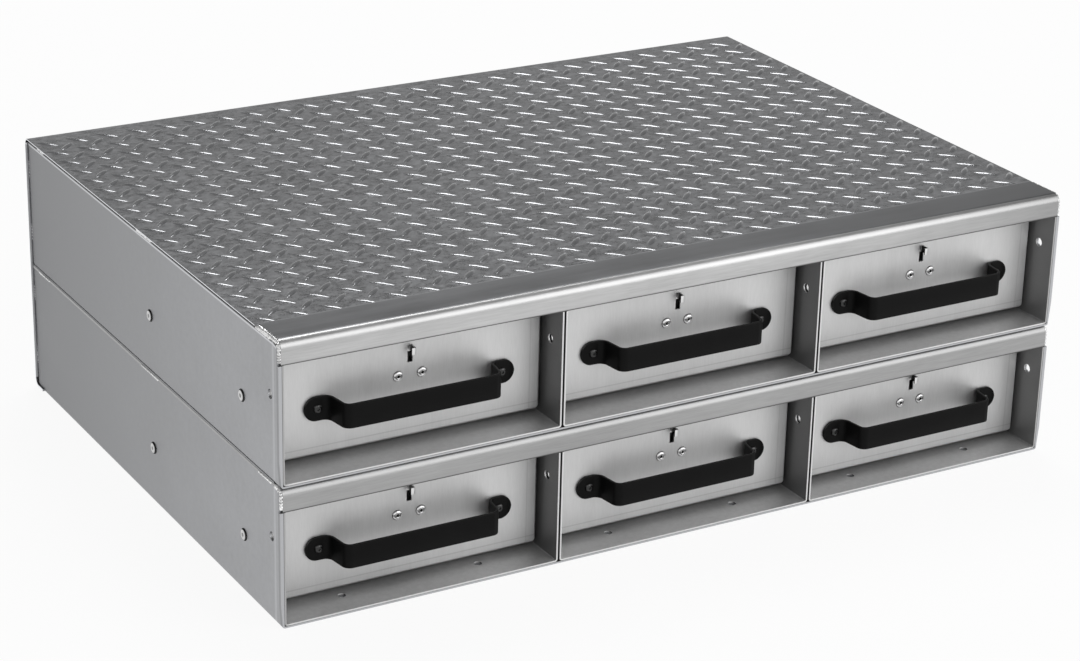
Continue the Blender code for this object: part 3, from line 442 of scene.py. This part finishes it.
# Painted shade on the faces that look left, and painted light on the faces that look to the front
LATCH = metal("latch_metal", 185, 0.38, stretch=(1, 0.25, 0.25), grain=500.0, spread=0.05,
              lines=[('Normal', 'X', -1.0, 0.6, 30, 1.0), ('Normal', 'Y', -1.0, 0.4, 228, 1.0)])
# Painted light and shade: the walls' sides are darkened, the faces to the front get a painted
# highlight, and near the skins the liner takes a middle tone of painted shade
LINER = metal("liner_metal", 184, 0.40, stretch=(0.3, 0.3, 1), grain=500.0, bump=0.06,
              clouds=0.40, metallic=0.45,
              lines=[('Normal', 'X', -1.0, 0.6, 105, 1.0), ('Normal', 'X', 1.0, 0.6, 105, 1.0),
                     ('Normal', 'Y', -1.0, 0.5, 222, 1.0),
                     ('Object', 'X', -SKIN_HALF_WIDTH, 0.009, 140, 1.0),
                     ('Object', 'X', SKIN_HALF_WIDTH, 0.009, 140, 1.0)])
FRONT = metal("drawer_front_metal", 209, 0.52, stretch=(1, 1, 0.10), grain=800.0, spread=0.034,
              bump=0.04, clouds=0.40, metallic=0.85,
              lines=[('Generated', 'Z', 0.083, 0.009, 120, 0.28),
                     ('Generated', 'X', 0.957, 0.004, 130, 0.2)])
TRAY = metal("drawer_tray_metal", 200, 0.42, stretch=(1, 0.10, 1), grain=700.0, spread=0.05)
RIVET = metal("rivet_metal", 200, 0.20, spread=0.04)
BLIND = metal("blind_rivet_metal", 232, 0.30, spread=0.04)
PIN_AND_RIM_SHADE = metal("rivet_pin_and_rim_shade_metal", 45, 0.50, spread=0.05)
WELD = metal("weld_metal", 232, 0.24, grain=260.0, spread=0.18, bump=0.9)
STEEL = metal("slide_steel_metal", 195, 0.30, stretch=(1, 0.05, 1), spread=0.04)
BLACK = black_coating("black_powder_coat", 12, 0.42, 0.08)
SCREW = black_coating("black_screw_finish", 18, 0.18, 0.55)


# Mesh helpers

def new_piece(name, mesh, material, body, smooth_below):
    """Link a piece of the object, which rides on a body."""
    piece = bpy.data.objects.new(name, mesh)
    bpy.context.scene.collection.objects.link(piece)
    if not mesh.materials:
        mesh.materials.append(material)
    for polygon in mesh.polygons:
        polygon.use_smooth = True
    mesh.set_sharp_from_angle(angle=math.radians(smooth_below))
    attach(piece, body)
    return piece


def to_mesh(bm, name):
    bmesh.ops.recalc_face_normals(bm, faces=bm.faces)
    mesh = bpy.data.meshes.new(name)
    bm.to_mesh(mesh)
    bm.free()
    return mesh


def bevelled(piece, width):
    edge = piece.modifiers.new("Edge", 'BEVEL')
    edge.width = width
    edge.segments = 2
    edge.limit_method = 'ANGLE'
    edge.angle_limit = math.radians(SHEET_BEVEL_ANGLE)
    edge.harden_normals = False
    weighted = piece.modifiers.new("Normals", 'WEIGHTED_NORMAL')
    weighted.keep_sharp = True


def arc(centre, start, end):
    """Points and outward directions round a bend, from one direction to the other."""
    start, end = Vector(start), Vector(end)
    angle = start.angle_signed(end)
    points = []
    for step in range(BEND_STEPS + 1):
        turn = -angle * step / BEND_STEPS
        spoke = Vector((start.x * math.cos(turn) - start.y * math.sin(turn),
                        start.x * math.sin(turn) + start.y * math.cos(turn)))
        points.append((Vector(centre) + spoke * BEND_RADIUS, spoke))
    return points


def plate_mesh(name, section, half_widths):
    """A plate from (point, outward, drop) rows of its outer face, each with its half width."""
    bm = bmesh.new()
    rings = []
    for side in (-1, 1):
        outer, inner = [], []
        for (point, outward, drop), half in zip(section, half_widths):
            face = point - outward * drop
            back = point - outward * PLATE_THICKNESS
            outer.append(bm.verts.new((side * half, face.x, face.y)))
            inner.append(bm.verts.new((side * half, back.x, back.y)))
        rings.append((outer, inner))
    (left_out, left_in), (right_out, right_in) = rings
    for i in range(len(section) - 1):
        bm.faces.new((left_out[i], left_out[i + 1], right_out[i + 1], right_out[i]))
        bm.faces.new((left_in[i], left_in[i + 1], right_in[i + 1], right_in[i]))
        bm.faces.new((left_out[i], left_out[i + 1], left_in[i + 1], left_in[i]))
        bm.faces.new((right_out[i], right_out[i + 1], right_in[i + 1], right_in[i]))
    for i in (0, len(section) - 1):
        bm.faces.new((left_out[i], right_out[i], right_in[i], left_in[i]))
    return to_mesh(bm, name)


def add_tube(bm, rings):
    """A closed tube through rings of vertices."""
    for first, second in zip(rings, rings[1:]):
        for k in range(len(first)):
            after = (k + 1) % len(first)
            bm.faces.new((first[k], first[after], second[after], second[k]))
    bm.faces.new(list(reversed(rings[0])))
    bm.faces.new(rings[-1])


class Path:
    """A line through points, by the length along it."""

    def __init__(self, points):
        self.points = points
        self.lengths = [0.0]
        for a, b in zip(points, points[1:]):
            self.lengths.append(self.lengths[-1] + (b - a).length)
        self.total = self.lengths[-1]

    def segment(self, s):
        last = max(k for k in range(len(self.lengths)) if self.lengths[k] <= s + TINY)
        return min(last, len(self.points) - 2)

    def place(self, s):
        i = self.segment(s)
        share = (s - self.lengths[i]) / (self.lengths[i + 1] - self.lengths[i])
        return self.points[i].lerp(self.points[i + 1], share)

    def ahead(self, s, sharp=True):
        """The direction at a length, at a corner from the point before it unless it is sharp."""
        i = self.segment(s)
        back = i if sharp or s > self.lengths[i] + TINY else max(i - 1, 0)
        return (self.points[i + 1] - self.points[back]).normalized()


# Tread plate cover

UP, DOWN, AHEAD, BEHIND = Vector((0, 1)), Vector((0, -1)), Vector((-1, 0)), Vector((1, 0))


def fascia_section(top):
    """The fascia and front bend under a top height, as far as the flat top."""
    rows = [(Vector((FRONT_Y, top - FASCIA_HEIGHT)), AHEAD, 0.0)]
    centre = (FRONT_Y + BEND_RADIUS, top - BEND_RADIUS)
    rows += [(point, spoke, 0.0) for point, spoke in arc(centre, AHEAD, UP)]
    return rows


def cover_section():
    """The whole cover, from the fascia over the top and the back to the lip under the unit."""
    rows = fascia_section(UNIT_HEIGHT)
    rows.append((Vector((FRONT_Y + BAND_END, UNIT_HEIGHT)), UP, 0.0))
    rows.append((Vector((FRONT_Y + BAND_END + BAND_SLOPE, UNIT_HEIGHT)), UP, LUG_HEIGHT))
    centre = (BACK_Y - BEND_RADIUS, UNIT_HEIGHT - BEND_RADIUS)
    rows += [(point, spoke, LUG_HEIGHT) for point, spoke in arc(centre, UP, BEHIND)]
    rows.append((Vector((BACK_Y, BACK_SLOPE_TOP)), BEHIND, LUG_HEIGHT))
    rows.append((Vector((BACK_Y, BACK_STRIP_TOP)), BEHIND, 0.0))
    centre = (BACK_Y - BEND_RADIUS, BEND_RADIUS)
    rows += [(point, spoke, 0.0) for point, spoke in arc(centre, BEHIND, DOWN)]
    rows.append((Vector((BACK_Y - BACK_LIP_DEPTH, 0)), DOWN, 0.0))
    return rows


def end_widths(section, full, trim_end):
    """Half widths that leave room for the corner beads at the ends of the fascia."""
    room = CORNER_BEAD * CORNER_BEAD_ROOM_SHARE
    return [full - (room if point.x < trim_end and point.y > TIER_HEIGHT - FASCIA_HEIGHT else 0)
            for point, _, _ in section]


def cover():
    section = cover_section()
    band_end = FRONT_Y + BAND_END + BAND_MARGIN
    mesh = plate_mesh("tread_cover_sheet", section, end_widths(section, HALF_WIDTH, band_end))
    for material in (TREAD, BAND_TOP, BAND):
        mesh.materials.append(material)
    # Faces of the band that look ahead take the lit copy of its metal and the rest the shaded
    # copy: painted light and shade
    for polygon in mesh.polygons:
        if polygon.center.z > UNIT_HEIGHT - FASCIA_HEIGHT and polygon.center.y < band_end:
            looks_ahead = polygon.center.y < FRONT_Y + BEND_RADIUS * FASCIA_BEND_SHARE
            polygon.material_index = 2 if looks_ahead else 1
    piece = new_piece("tread_cover_sheet", mesh, TREAD, "case", 40)
    bevelled(piece, SHEET_EDGE)
    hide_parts("tread_plate_cover")


def lug_rows():
    """Points of a lug as shares of its half length, half width and height."""
    taper, blunt = LUG_PLAN_POWERS
    along, across = LUG_CROWN_POWERS
    rows = []
    for u in LUG_LENGTH_SHARES:
        plan = max(LUG_TIP_SHARE, (1 - abs(u) ** taper) ** blunt)
        crown = max(0.0, 1 - abs(u) ** along)
        rows.append([(u, v * plan, crown * (1 - abs(v) ** across)) for v in LUG_WIDTH_SHARES])
    return rows


LUG_SHAPE = lug_rows()


def add_lug(bm, place, along, across, outward):
    """A lug on a face, from its middle and directions, flattened out at the plate's ends."""
    end = HALF_WIDTH - LUG_END_GAP
    grid = []
    for row in LUG_SHAPE:
        line = []
        for u, v, height in row:
            spot = place + along * (u * LUG_LENGTH / 2) + across * (v * LUG_WIDTH / 2)
            spot.x = min(max(spot.x, -end), end)
            from_end = min(spot.x + end, end - spot.x)
            fade = min(1.0, max(0.0, (from_end - LUG_FLAT_END) / LUG_FADE))
            line.append(bm.verts.new(spot + outward * (height * fade * LUG_HEIGHT - LUG_SINK)))
        grid.append(line)
    for first, second in zip(grid, grid[1:]):
        for i in range(len(first) - 1):
            bm.faces.new((first[i], first[i + 1], second[i + 1], second[i]))
    rim = [line[0] for line in grid] + grid[-1][1:] + [line[-1] for line in reversed(grid[:-1])]
    rim += list(reversed(grid[0][1:-1]))
    bm.faces.new(rim)


def lugs():
    """Lugs of both slants on the top behind its plain band, and on the back under the bend."""
    bm = bmesh.new()
    turn = math.sqrt(0.5)
    reach = LUG_LENGTH / 2 * turn
    for column in LUG_COLUMNS:
        for row in LUG_ROWS:
            for shift, slant in ((0.0, -1), (0.5, 1)):
                x = -HALF_WIDTH + LUG_FIRST_X + (column + shift) * LUG_PITCH_X
                if abs(x) > HALF_WIDTH + reach * LUG_REACH_SHARE:
                    continue
                y = FRONT_Y + (LUG_FIRST_Y + (row + shift) * LUG_PITCH_Y)
                if y < BACK_Y - BEND_RADIUS - reach * LUG_REACH_SHARE:
                    add_lug(bm, Vector((x, y, UNIT_HEIGHT - LUG_HEIGHT)),
                            Vector((turn, slant * turn, 0)), Vector((-slant * turn, turn, 0)),
                            Vector((0, 0, 1)))
                    continue
                z = UNIT_HEIGHT - (y - BACK_Y + BEND_SAVING)
                behind = y > BACK_Y + BEND_RADIUS + reach * LUG_BACK_SHARE
                if behind and z > BACK_SLOPE_TOP + reach:
                    add_lug(bm, Vector((x, BACK_Y - LUG_HEIGHT, z)),
                            Vector((turn, 0, -slant * turn)), Vector((-slant * turn, 0, -turn)),
                            Vector((0, 1, 0)))
    mesh = to_mesh(bm, "tread_cover_lugs")
    new_piece("tread_cover_lugs", mesh, LUG, "case", 70)


# Welds

def bead_mesh(name, runs):
    """Rippled weld beads, each a (points, radius) run."""
    least, ripple = RIPPLE_SHARES
    bm = bmesh.new()
    for points, radius in runs:
        path = Path(points)
        steps = max(BEAD_LEAST_STEPS, int(path.total / BEAD_STEP))
        rings = []
        for step in range(steps + 1):
            s = path.total * step / steps
            middle, ahead = path.place(s), path.ahead(s)
            side = ahead.orthogonal().normalized()
            other = ahead.cross(side)
            taper = min(1.0, (s + BEAD_TIP) / radius * BEAD_TAPER_SHARE,
                        (path.total - s + BEAD_TIP) / radius * BEAD_TAPER_SHARE)
            drift = RIPPLE_DRIFT * noise.noise(middle * RIPPLE_DRIFT_SCALE)
            wave = abs(math.sin(math.pi * s / RIPPLE_PITCH + drift))
            size = radius * max(BEAD_LEAST_SHARE, taper) * (least + ripple * wave)
            ring = []
            for k in range(BEAD_SIDES):
                angle = math.tau * k / BEAD_SIDES
                spoke = side * math.cos(angle) + other * math.sin(angle)
                lump = 1 + LUMP_SHARE * noise.noise((middle + spoke * radius) * LUMP_SCALE)
                ring.append(bm.verts.new(middle + spoke * min(size * lump, radius)))
            rings.append(ring)
        add_tube(bm, rings)
    return to_mesh(bm, name)


def side_runs(x, height, shares, radius):
    """Straight runs along both sides, between shares of the depth."""
    return [([Vector((side * x, FRONT_Y + share * DEPTH, height)) for share in run], radius)
            for side in (-1, 1) for run in shares]


def corner_runs(top, x, length):
    """Beads that close both ends of a fascia, up and round its front bend and on along the top."""
    radius = CORNER_BEAD / 2
    line = [point - outward * radius for point, outward, _ in fascia_section(top)]
    line[0] = line[0] + Vector((0, radius * CORNER_BEAD_RISE_SHARE))
    line.append(Vector((FRONT_Y + length, top - radius)))
    return [([Vector((side * (x - radius), p.x, p.y)) for p in line], radius) for side in (-1, 1)]


def welds():
    runs = side_runs(HALF_WIDTH - TOP_TACK_INSET, SIDE_TOP - TOP_TACK_DROP, TOP_TACKS,
                     TOP_TACK_RADIUS)
    for _, base in TIERS:
        for run in BACK_TACKS:
            for side in (-1, 1):
                x = side * (SKIN_HALF_WIDTH - BACK_TACK_INSET)
                y = SKIN_BACK_Y + BACK_TACK_SETBACK
                points = [Vector((x, y, base + share * TIER_HEIGHT)) for share in run]
                runs.append((points, BACK_TACK_RADIUS))
    runs += corner_runs(UNIT_HEIGHT, HALF_WIDTH - CORNER_BEAD_INSET, BAND_END)
    mesh = bead_mesh("cover_weld_beads", runs)
    new_piece("cover_weld_beads", mesh, WELD, "case", 60)
    runs = side_runs(HALF_WIDTH - SEAM_TACK_INSET, TIER_HEIGHT - PLATE_THICKNESS / 2, SEAM_TACKS,
                     SEAM_TACK_RADIUS)
    runs += corner_runs(TIER_HEIGHT, HALF_WIDTH - SEAT_GAP - CORNER_BEAD_INSET, MARGIN_DEPTH)
    mesh = bead_mesh("seam_weld_beads", runs)
    new_piece("seam_weld_beads", mesh, WELD, "case", 60)


def lower_sheet():
    """Top sheet of the lower case, as wide as the front margins of the skins at its fascia."""
    rows = fascia_section(TIER_HEIGHT)
    rows.append((Vector((FRONT_Y + MARGIN_DEPTH, TIER_HEIGHT)), UP, 0.0))
    rows.append((Vector((SKIN_BACK_Y, TIER_HEIGHT)), UP, 0.0))
    widths = end_widths(rows, HALF_WIDTH - SEAT_GAP, FRONT_Y + LOWER_BEND_END)
    widths[-2:] = [SKIN_HALF_WIDTH + LOWER_SHEET_OVERHANG] * 2
    mesh = plate_mesh("lower_top_plate", rows, widths)
    piece = new_piece("lower_top_plate", mesh, LOWER_BAND, "case", 40)
    bevelled(piece, SHEET_EDGE)
    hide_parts("lower_top_sheet")


def seam_fillets():
    """Thin lips of the lower sheet that fill the groove under the upper skin's bend."""
    bm = bmesh.new()
    for side in (-1, 1):
        add_tube(bm, [[bm.verts.new((side * x, y, TIER_HEIGHT + rise)) for x, rise in SEAM_LIP]
                      for y in (FRONT_Y + MARGIN_DEPTH, SKIN_BACK_Y)])
    new_piece("seam_fillets", to_mesh(bm, "seam_fillets"), MILL, "case", 40)


def back_hems():
    """Upright hems at both ends of the cover's back, just behind the skins."""
    bm = bmesh.new()
    x, y, z = HEM_MIDDLE
    for side in (-1, 1):
        matrix = Matrix.Translation((side * x, y, z)) @ Matrix.Diagonal((*HEM_SIZE, 1))
        bmesh.ops.create_cube(bm, size=1, matrix=matrix)
    mesh = to_mesh(bm, "cover_back_hems")
    piece = new_piece("cover_back_hems", mesh, MILL, "case", 40)
    bevelled(piece, HEM_EDGE)


# Fasteners

def turned(bm, profile, place, axis):
    """Turn a profile about an axis at a place, closed at its foot."""
    rotation = Vector((0, 0, 1)).rotation_difference(axis).to_matrix()
    rings = []
    for radius, height in profile:
        spokes = [(0, 0)]
        if radius:
            angles = [math.tau * k / HEAD_SIDES for k in range(HEAD_SIDES)]
            spokes = [(radius * math.cos(angle), radius * math.sin(angle)) for angle in angles]
        rings.append([bm.verts.new(place + rotation @ Vector((*spoke, height)))
                      for spoke in spokes])
    for first, second in zip(rings, rings[1:]):
        for k in range(HEAD_SIDES):
            corners = []
            for ring, i in ((first, k), (first, k + 1), (second, k + 1), (second, k)):
                if ring[i % len(ring)] not in corners:
                    corners.append(ring[i % len(ring)])
            bm.faces.new(corners)
    bm.faces.new(rings[-1])


def darkened(mesh, main, is_dark):
    """A head's metal, and the dark pin metal on the faces that a test picks by their centres: the
    pin's own colour, or painted shade round a head's rim.
    """
    mesh.materials.append(main)
    mesh.materials.append(PIN_AND_RIM_SHADE)
    for polygon in mesh.polygons:
        if is_dark(polygon.center):
            polygon.material_index = 1


def slide_rivets():
    bm = bmesh.new()
    for _, base in TIERS:
        for side in (-1, 1):
            for setback in SLIDE_RIVET_SETBACKS:
                place = Vector((side * (SKIN_HALF_WIDTH + SLIDE_RIVET_SEAT), FRONT_Y + setback,
                                base + SLIDE_RIVET_HEIGHT))
                turned(bm, SLIDE_RIVET_PROFILE, place, Vector((side, 0, 0)))
    mesh = to_mesh(bm, "outer_slide_rivet_heads")
    # Painted shade: the faces at each head's rim, next to the skin, take the dark metal as a dark
    # ring
    darkened(mesh, RIVET, lambda spot: spot.x ** 2 < (SKIN_HALF_WIDTH + SLIDE_RIVET_RIM) ** 2)
    new_piece("outer_slide_rivet_heads", mesh, RIVET, "case", 50)


def blind_rivet_heads(name, body, centre, base):
    bm = bmesh.new()
    for side in (-1, 1):
        place = Vector((centre + side * BLIND_RIVET_SPREAD, FACE_Y - BLIND_RIVET_SEAT,
                        base + BLIND_RIVET_HEIGHT))
        turned(bm, BLIND_RIVET_PROFILE, place, Vector((0, -1, 0)))
    mesh = to_mesh(bm, name)

    # The pin in the middle is dark steel of its own; the faces beyond the rim take the dark metal
    # as painted shade round the head
    def is_dark(spot):
        away = math.hypot(abs(spot.x - centre) - BLIND_RIVET_SPREAD,
                          spot.z - base - BLIND_RIVET_HEIGHT)
        return away < BLIND_RIVET_PIN or away > BLIND_RIVET_RIM

    darkened(mesh, BLIND, is_dark)
    new_piece(name, mesh, BLIND, body, 50)


def screw_heads(name, body, centre, base):
    """Button heads with a round recess, black like the strap."""
    bm = bmesh.new()
    for side in (-1, 1):
        place = Vector((centre + side * SCREW_SPREAD, FACE_Y - SCREW_SEAT, base + HANDLE_HEIGHT))
        turned(bm, SCREW_PROFILE, place, Vector((0, -1, 0)))
    new_piece(name, to_mesh(bm, name), SCREW, body, 50)


# Handles

def strap_points():
    """The middle line of the strap in plan, from its left end to its right end."""
    left = [(-STRAP_HALF_LENGTH, STRAP_FOOT_Y), (-STRAP_FOOT_REACH, STRAP_FOOT_Y),
            (-STRAP_GRIP_REACH, STRAP_GRIP_Y)]
    corners = [Vector(corner) for corner in left + [(-x, y) for x, y in reversed(left)]]
    radii = (STRAP_FOOT_RADIUS, STRAP_GRIP_RADIUS, STRAP_GRIP_RADIUS, STRAP_FOOT_RADIUS)
    points = [corners[0]]
    for before, corner, after, radius in zip(corners, corners[1:], corners[2:], radii):
        back, ahead = (before - corner).normalized(), (after - corner).normalized()
        half = back.angle(ahead) / 2
        centre = corner + (back + ahead).normalized() * radius / math.sin(half)
        start = corner + back * radius / math.tan(half) - centre
        end = corner + ahead * radius / math.tan(half) - centre
        turn = math.atan2(start.cross(end), start.dot(end))
        for step in range(STRAP_STEPS + 1):
            angle = turn * step / STRAP_STEPS
            points.append(centre + Vector((start.x * math.cos(angle) - start.y * math.sin(angle),
                                           start.x * math.sin(angle) + start.y * math.cos(angle))))
    points.append(corners[-1])
    return points


def strap_ring(reach):
    """The strap's section with rounded edges at a half width, as (across, depth) points."""
    inset = STRAP_EDGE_RADIUS * STRAP_EDGE_SHARE
    corner = [(reach, STRAP_HALF_THICKNESS - STRAP_EDGE_RADIUS),
              (reach - inset, STRAP_HALF_THICKNESS - inset),
              (max(reach - STRAP_EDGE_RADIUS, 0), STRAP_HALF_THICKNESS)]
    ring = corner + [(-x, y) for x, y in reversed(corner)]
    ring += [(-x, -y) for x, y in corner] + [(x, -y) for x, y in reversed(corner)]
    return ring[-1:] + ring[:-1]


def strap_mesh(name, centre, base):
    """A strap with round ends and rounded edges."""
    path = Path(strap_points())
    near = [STRAP_HALF_WIDTH * (1 - math.cos(math.pi / 2 * k / STRAP_STEPS))
            for k in range(STRAP_STEPS)]
    between = [s for s in path.lengths if STRAP_HALF_WIDTH < s < path.total - STRAP_HALF_WIDTH]
    far = [path.total - s for s in reversed(near)]
    bm = bmesh.new()
    rings = []
    for s in near + between + far:
        middle, ahead = path.place(s), path.ahead(s, sharp=False)
        normal = Vector((-ahead.y, ahead.x))
        from_round = max(0, STRAP_HALF_WIDTH - min(s, path.total - s))
        reach = math.sqrt(STRAP_HALF_WIDTH ** 2 - from_round ** 2)
        ring = []
        for across, depth in strap_ring(max(reach, STRAP_TIP)):
            spot = middle + normal * depth
            ring.append(bm.verts.new((centre + spot.x, FACE_Y + spot.y,
                                      base + HANDLE_HEIGHT + across)))
        rings.append(ring)
    add_tube(bm, rings)
    bmesh.ops.remove_doubles(bm, verts=bm.verts, dist=SAME_PLACE)
    return to_mesh(bm, name)


# Carried-over solids

def dress(node, material, bevel):
    """Give a solid its look, and a small bevel unless it is 0."""
    item = frame["nodes"][node]
    for slot in item.material_slots:
        slot.material = material
    mesh = item.data
    if "custom_normal" in mesh.attributes:
        mesh.attributes.remove(mesh.attributes["custom_normal"])
    for polygon in mesh.polygons:
        polygon.use_smooth = True
    weld = item.modifiers.new("Weld", 'WELD')
    weld.merge_threshold = WELD_DISTANCE
    if bevel:
        edge = item.modifiers.new("Edge", 'BEVEL')
        edge.width = bevel
        edge.segments = 2
        edge.limit_method = 'ANGLE'
        edge.angle_limit = math.radians(BEVEL_ANGLE)
    split = item.modifiers.new("Split", 'EDGE_SPLIT')
    split.split_angle = math.radians(SPLIT_ANGLE)
    weighted = item.modifiers.new("Normals", 'WEIGHTED_NORMAL')
    weighted.keep_sharp = True


DRAWER_LOOKS = (("liner", LINER, FINE_BEVEL), ("latch_catch", MILL, 0),
                ("drawer_tray", TRAY, FINE_BEVEL), ("drawer_front", FRONT, FINE_BEVEL),
                ("latch_guide", RIVET, 0), ("latch_bolt", LATCH, LATCH_BEVEL),
                ("left_slide_member", STEEL, 0), ("right_slide_member", STEEL, 0))

cover()
lugs()
lower_sheet()
welds()
seam_fillets()
back_hems()
slide_rivets()
for tier, base in TIERS:
    dress(f"{tier}_case_skin", MILL, FINE_BEVEL)
    for bay, centre in BAYS:
        prefix = f"{tier}_{bay}_"
        body = prefix + "drawer"
        for node, material, bevel in DRAWER_LOOKS:
            dress(prefix + node, material, bevel)
        mesh = strap_mesh(prefix + "strap", centre, base)
        strap = new_piece(prefix + "strap", mesh, BLACK, body, 35)
        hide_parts(prefix + "handle")
        screw_heads(prefix + "strap_screw_heads", body, centre, base)
        blind_rivet_heads(prefix + "blind_rivet_heads", body, centre, base)


# Floor, lamps and camera

def pale(name):
    made = Nodes(bpy.data.materials.new(name))
    made.surface.inputs["Base Color"].default_value = FLOOR_ALBEDO
    made.surface.inputs["Roughness"].default_value = FLOOR_ROUGHNESS
    return made


def glowing_floor(name):
    """A pale floor that the camera and mirrors see near white, with the object's shadow kept."""
    made = pale(name)
    made.surface.inputs["Specular IOR Level"].default_value = 0.0
    glow = made.add('ShaderNodeEmission')
    glow.inputs["Color"].default_value = (1, 1, 1, 1)
    glow.inputs["Strength"].default_value = 1.0
    path = made.add('ShaderNodeLightPath')
    seen = made.math('ADD', path.outputs["Is Camera Ray"], path.outputs["Is Glossy Ray"])
    seen = made.math('ADD', seen, path.outputs["Is Transmission Ray"])
    seen = made.math('MULTIPLY', made.math('MINIMUM', seen, 1.0), FLOOR_GLOW)
    blend = made.add('ShaderNodeMixShader')
    output = next(node for node in made.tree.nodes if node.type == 'OUTPUT_MATERIAL')
    made.link(seen, blend.inputs[0])
    made.link(made.surface.outputs[0], blend.inputs[1])
    made.link(glow.outputs[0], blend.inputs[2])
    made.link(blend.outputs[0], output.inputs["Surface"])
    return made.owner


def level_sheet(name, reach, drop, material):
    """A level rectangle under the unit, with its reach each way."""
    bm = bmesh.new()
    bmesh.ops.create_grid(bm, x_segments=1, y_segments=1, size=1)
    mesh = bpy.data.meshes.new(name)
    bm.to_mesh(mesh)
    bm.free()
    sheet = bpy.data.objects.new(name, mesh)
    sheet.scale = (*reach, 1)
    sheet.location = (0, 0, -drop)
    bpy.context.scene.collection.objects.link(sheet)
    mesh.materials.append(material)
    return sheet


floor = level_sheet("floor", (FLOOR_REACH, FLOOR_REACH), FLOOR_DROP, glowing_floor("floor_white"))
covered = level_sheet("covered_floor",
                      (HALF_WIDTH - COVERED_FLOOR_INSET, BACK_Y - COVERED_FLOOR_INSET),
                      COVERED_FLOOR_DROP, pale("covered_floor_white").owner)

# The studio is bright near the horizon, and farther up in front of the unit than behind it
world = bpy.data.worlds.new("studio")
bpy.context.scene.world = world
sky = Nodes(world)
to_front = sky.math('MULTIPLY', sky.axis('Generated', 'Y'), -1)
up = sky.axis('Generated', 'Z')
studio = sky.mixed(sky.ramp(to_front, *SKY_TURN), sky.ramp(up, *SKY_BEHIND),
                   sky.ramp(up, *SKY_IN_FRONT))
sky.link(studio, sky.tree.nodes["Background"].inputs["Color"])


def area_lamp(name, location, target, size, power, turn=0.0):
    lamp = bpy.data.lights.new(name, 'AREA')
    lamp.shape = 'RECTANGLE'
    lamp.size, lamp.size_y = size
    lamp.energy = power
    item = bpy.data.objects.new(name, lamp)
    aim = (Vector(target) - Vector(location)).to_track_quat('-Z', 'Y').to_matrix().to_4x4()
    spin = Matrix.Rotation(math.radians(turn), 4, 'Z')
    item.matrix_world = Matrix.Translation(location) @ aim @ spin
    bpy.context.scene.collection.objects.link(item)


area_lamp("overhead_softbox", location=(0.92, 2.06, 4.79), target=(0, 0, 0.33),
          size=(1.9, 2.4), power=90, turn=61)
area_lamp("front_fill", location=(1.6, -2.6, 1.6), target=(0, 0, 0.15), size=(2.8, 2.8),
          power=32)

camera_data = bpy.data.cameras.new("camera")
camera_data.lens = CAMERA_LENS
camera_data.sensor_width = CAMERA_SENSOR
camera_data.clip_start, camera_data.clip_end = CAMERA_CLIP
camera = bpy.data.objects.new("camera", camera_data)
rotation = Matrix((CAMERA_RIGHT, -CAMERA_DOWN, -CAMERA_FORWARD)).transposed()
camera.matrix_world = Matrix.Translation(CAMERA_PLACE) @ rotation.to_4x4()
bpy.context.scene.collection.objects.link(camera)
bpy.context.scene.camera = camera
bpy.context.scene.view_settings.view_transform = 'Standard'
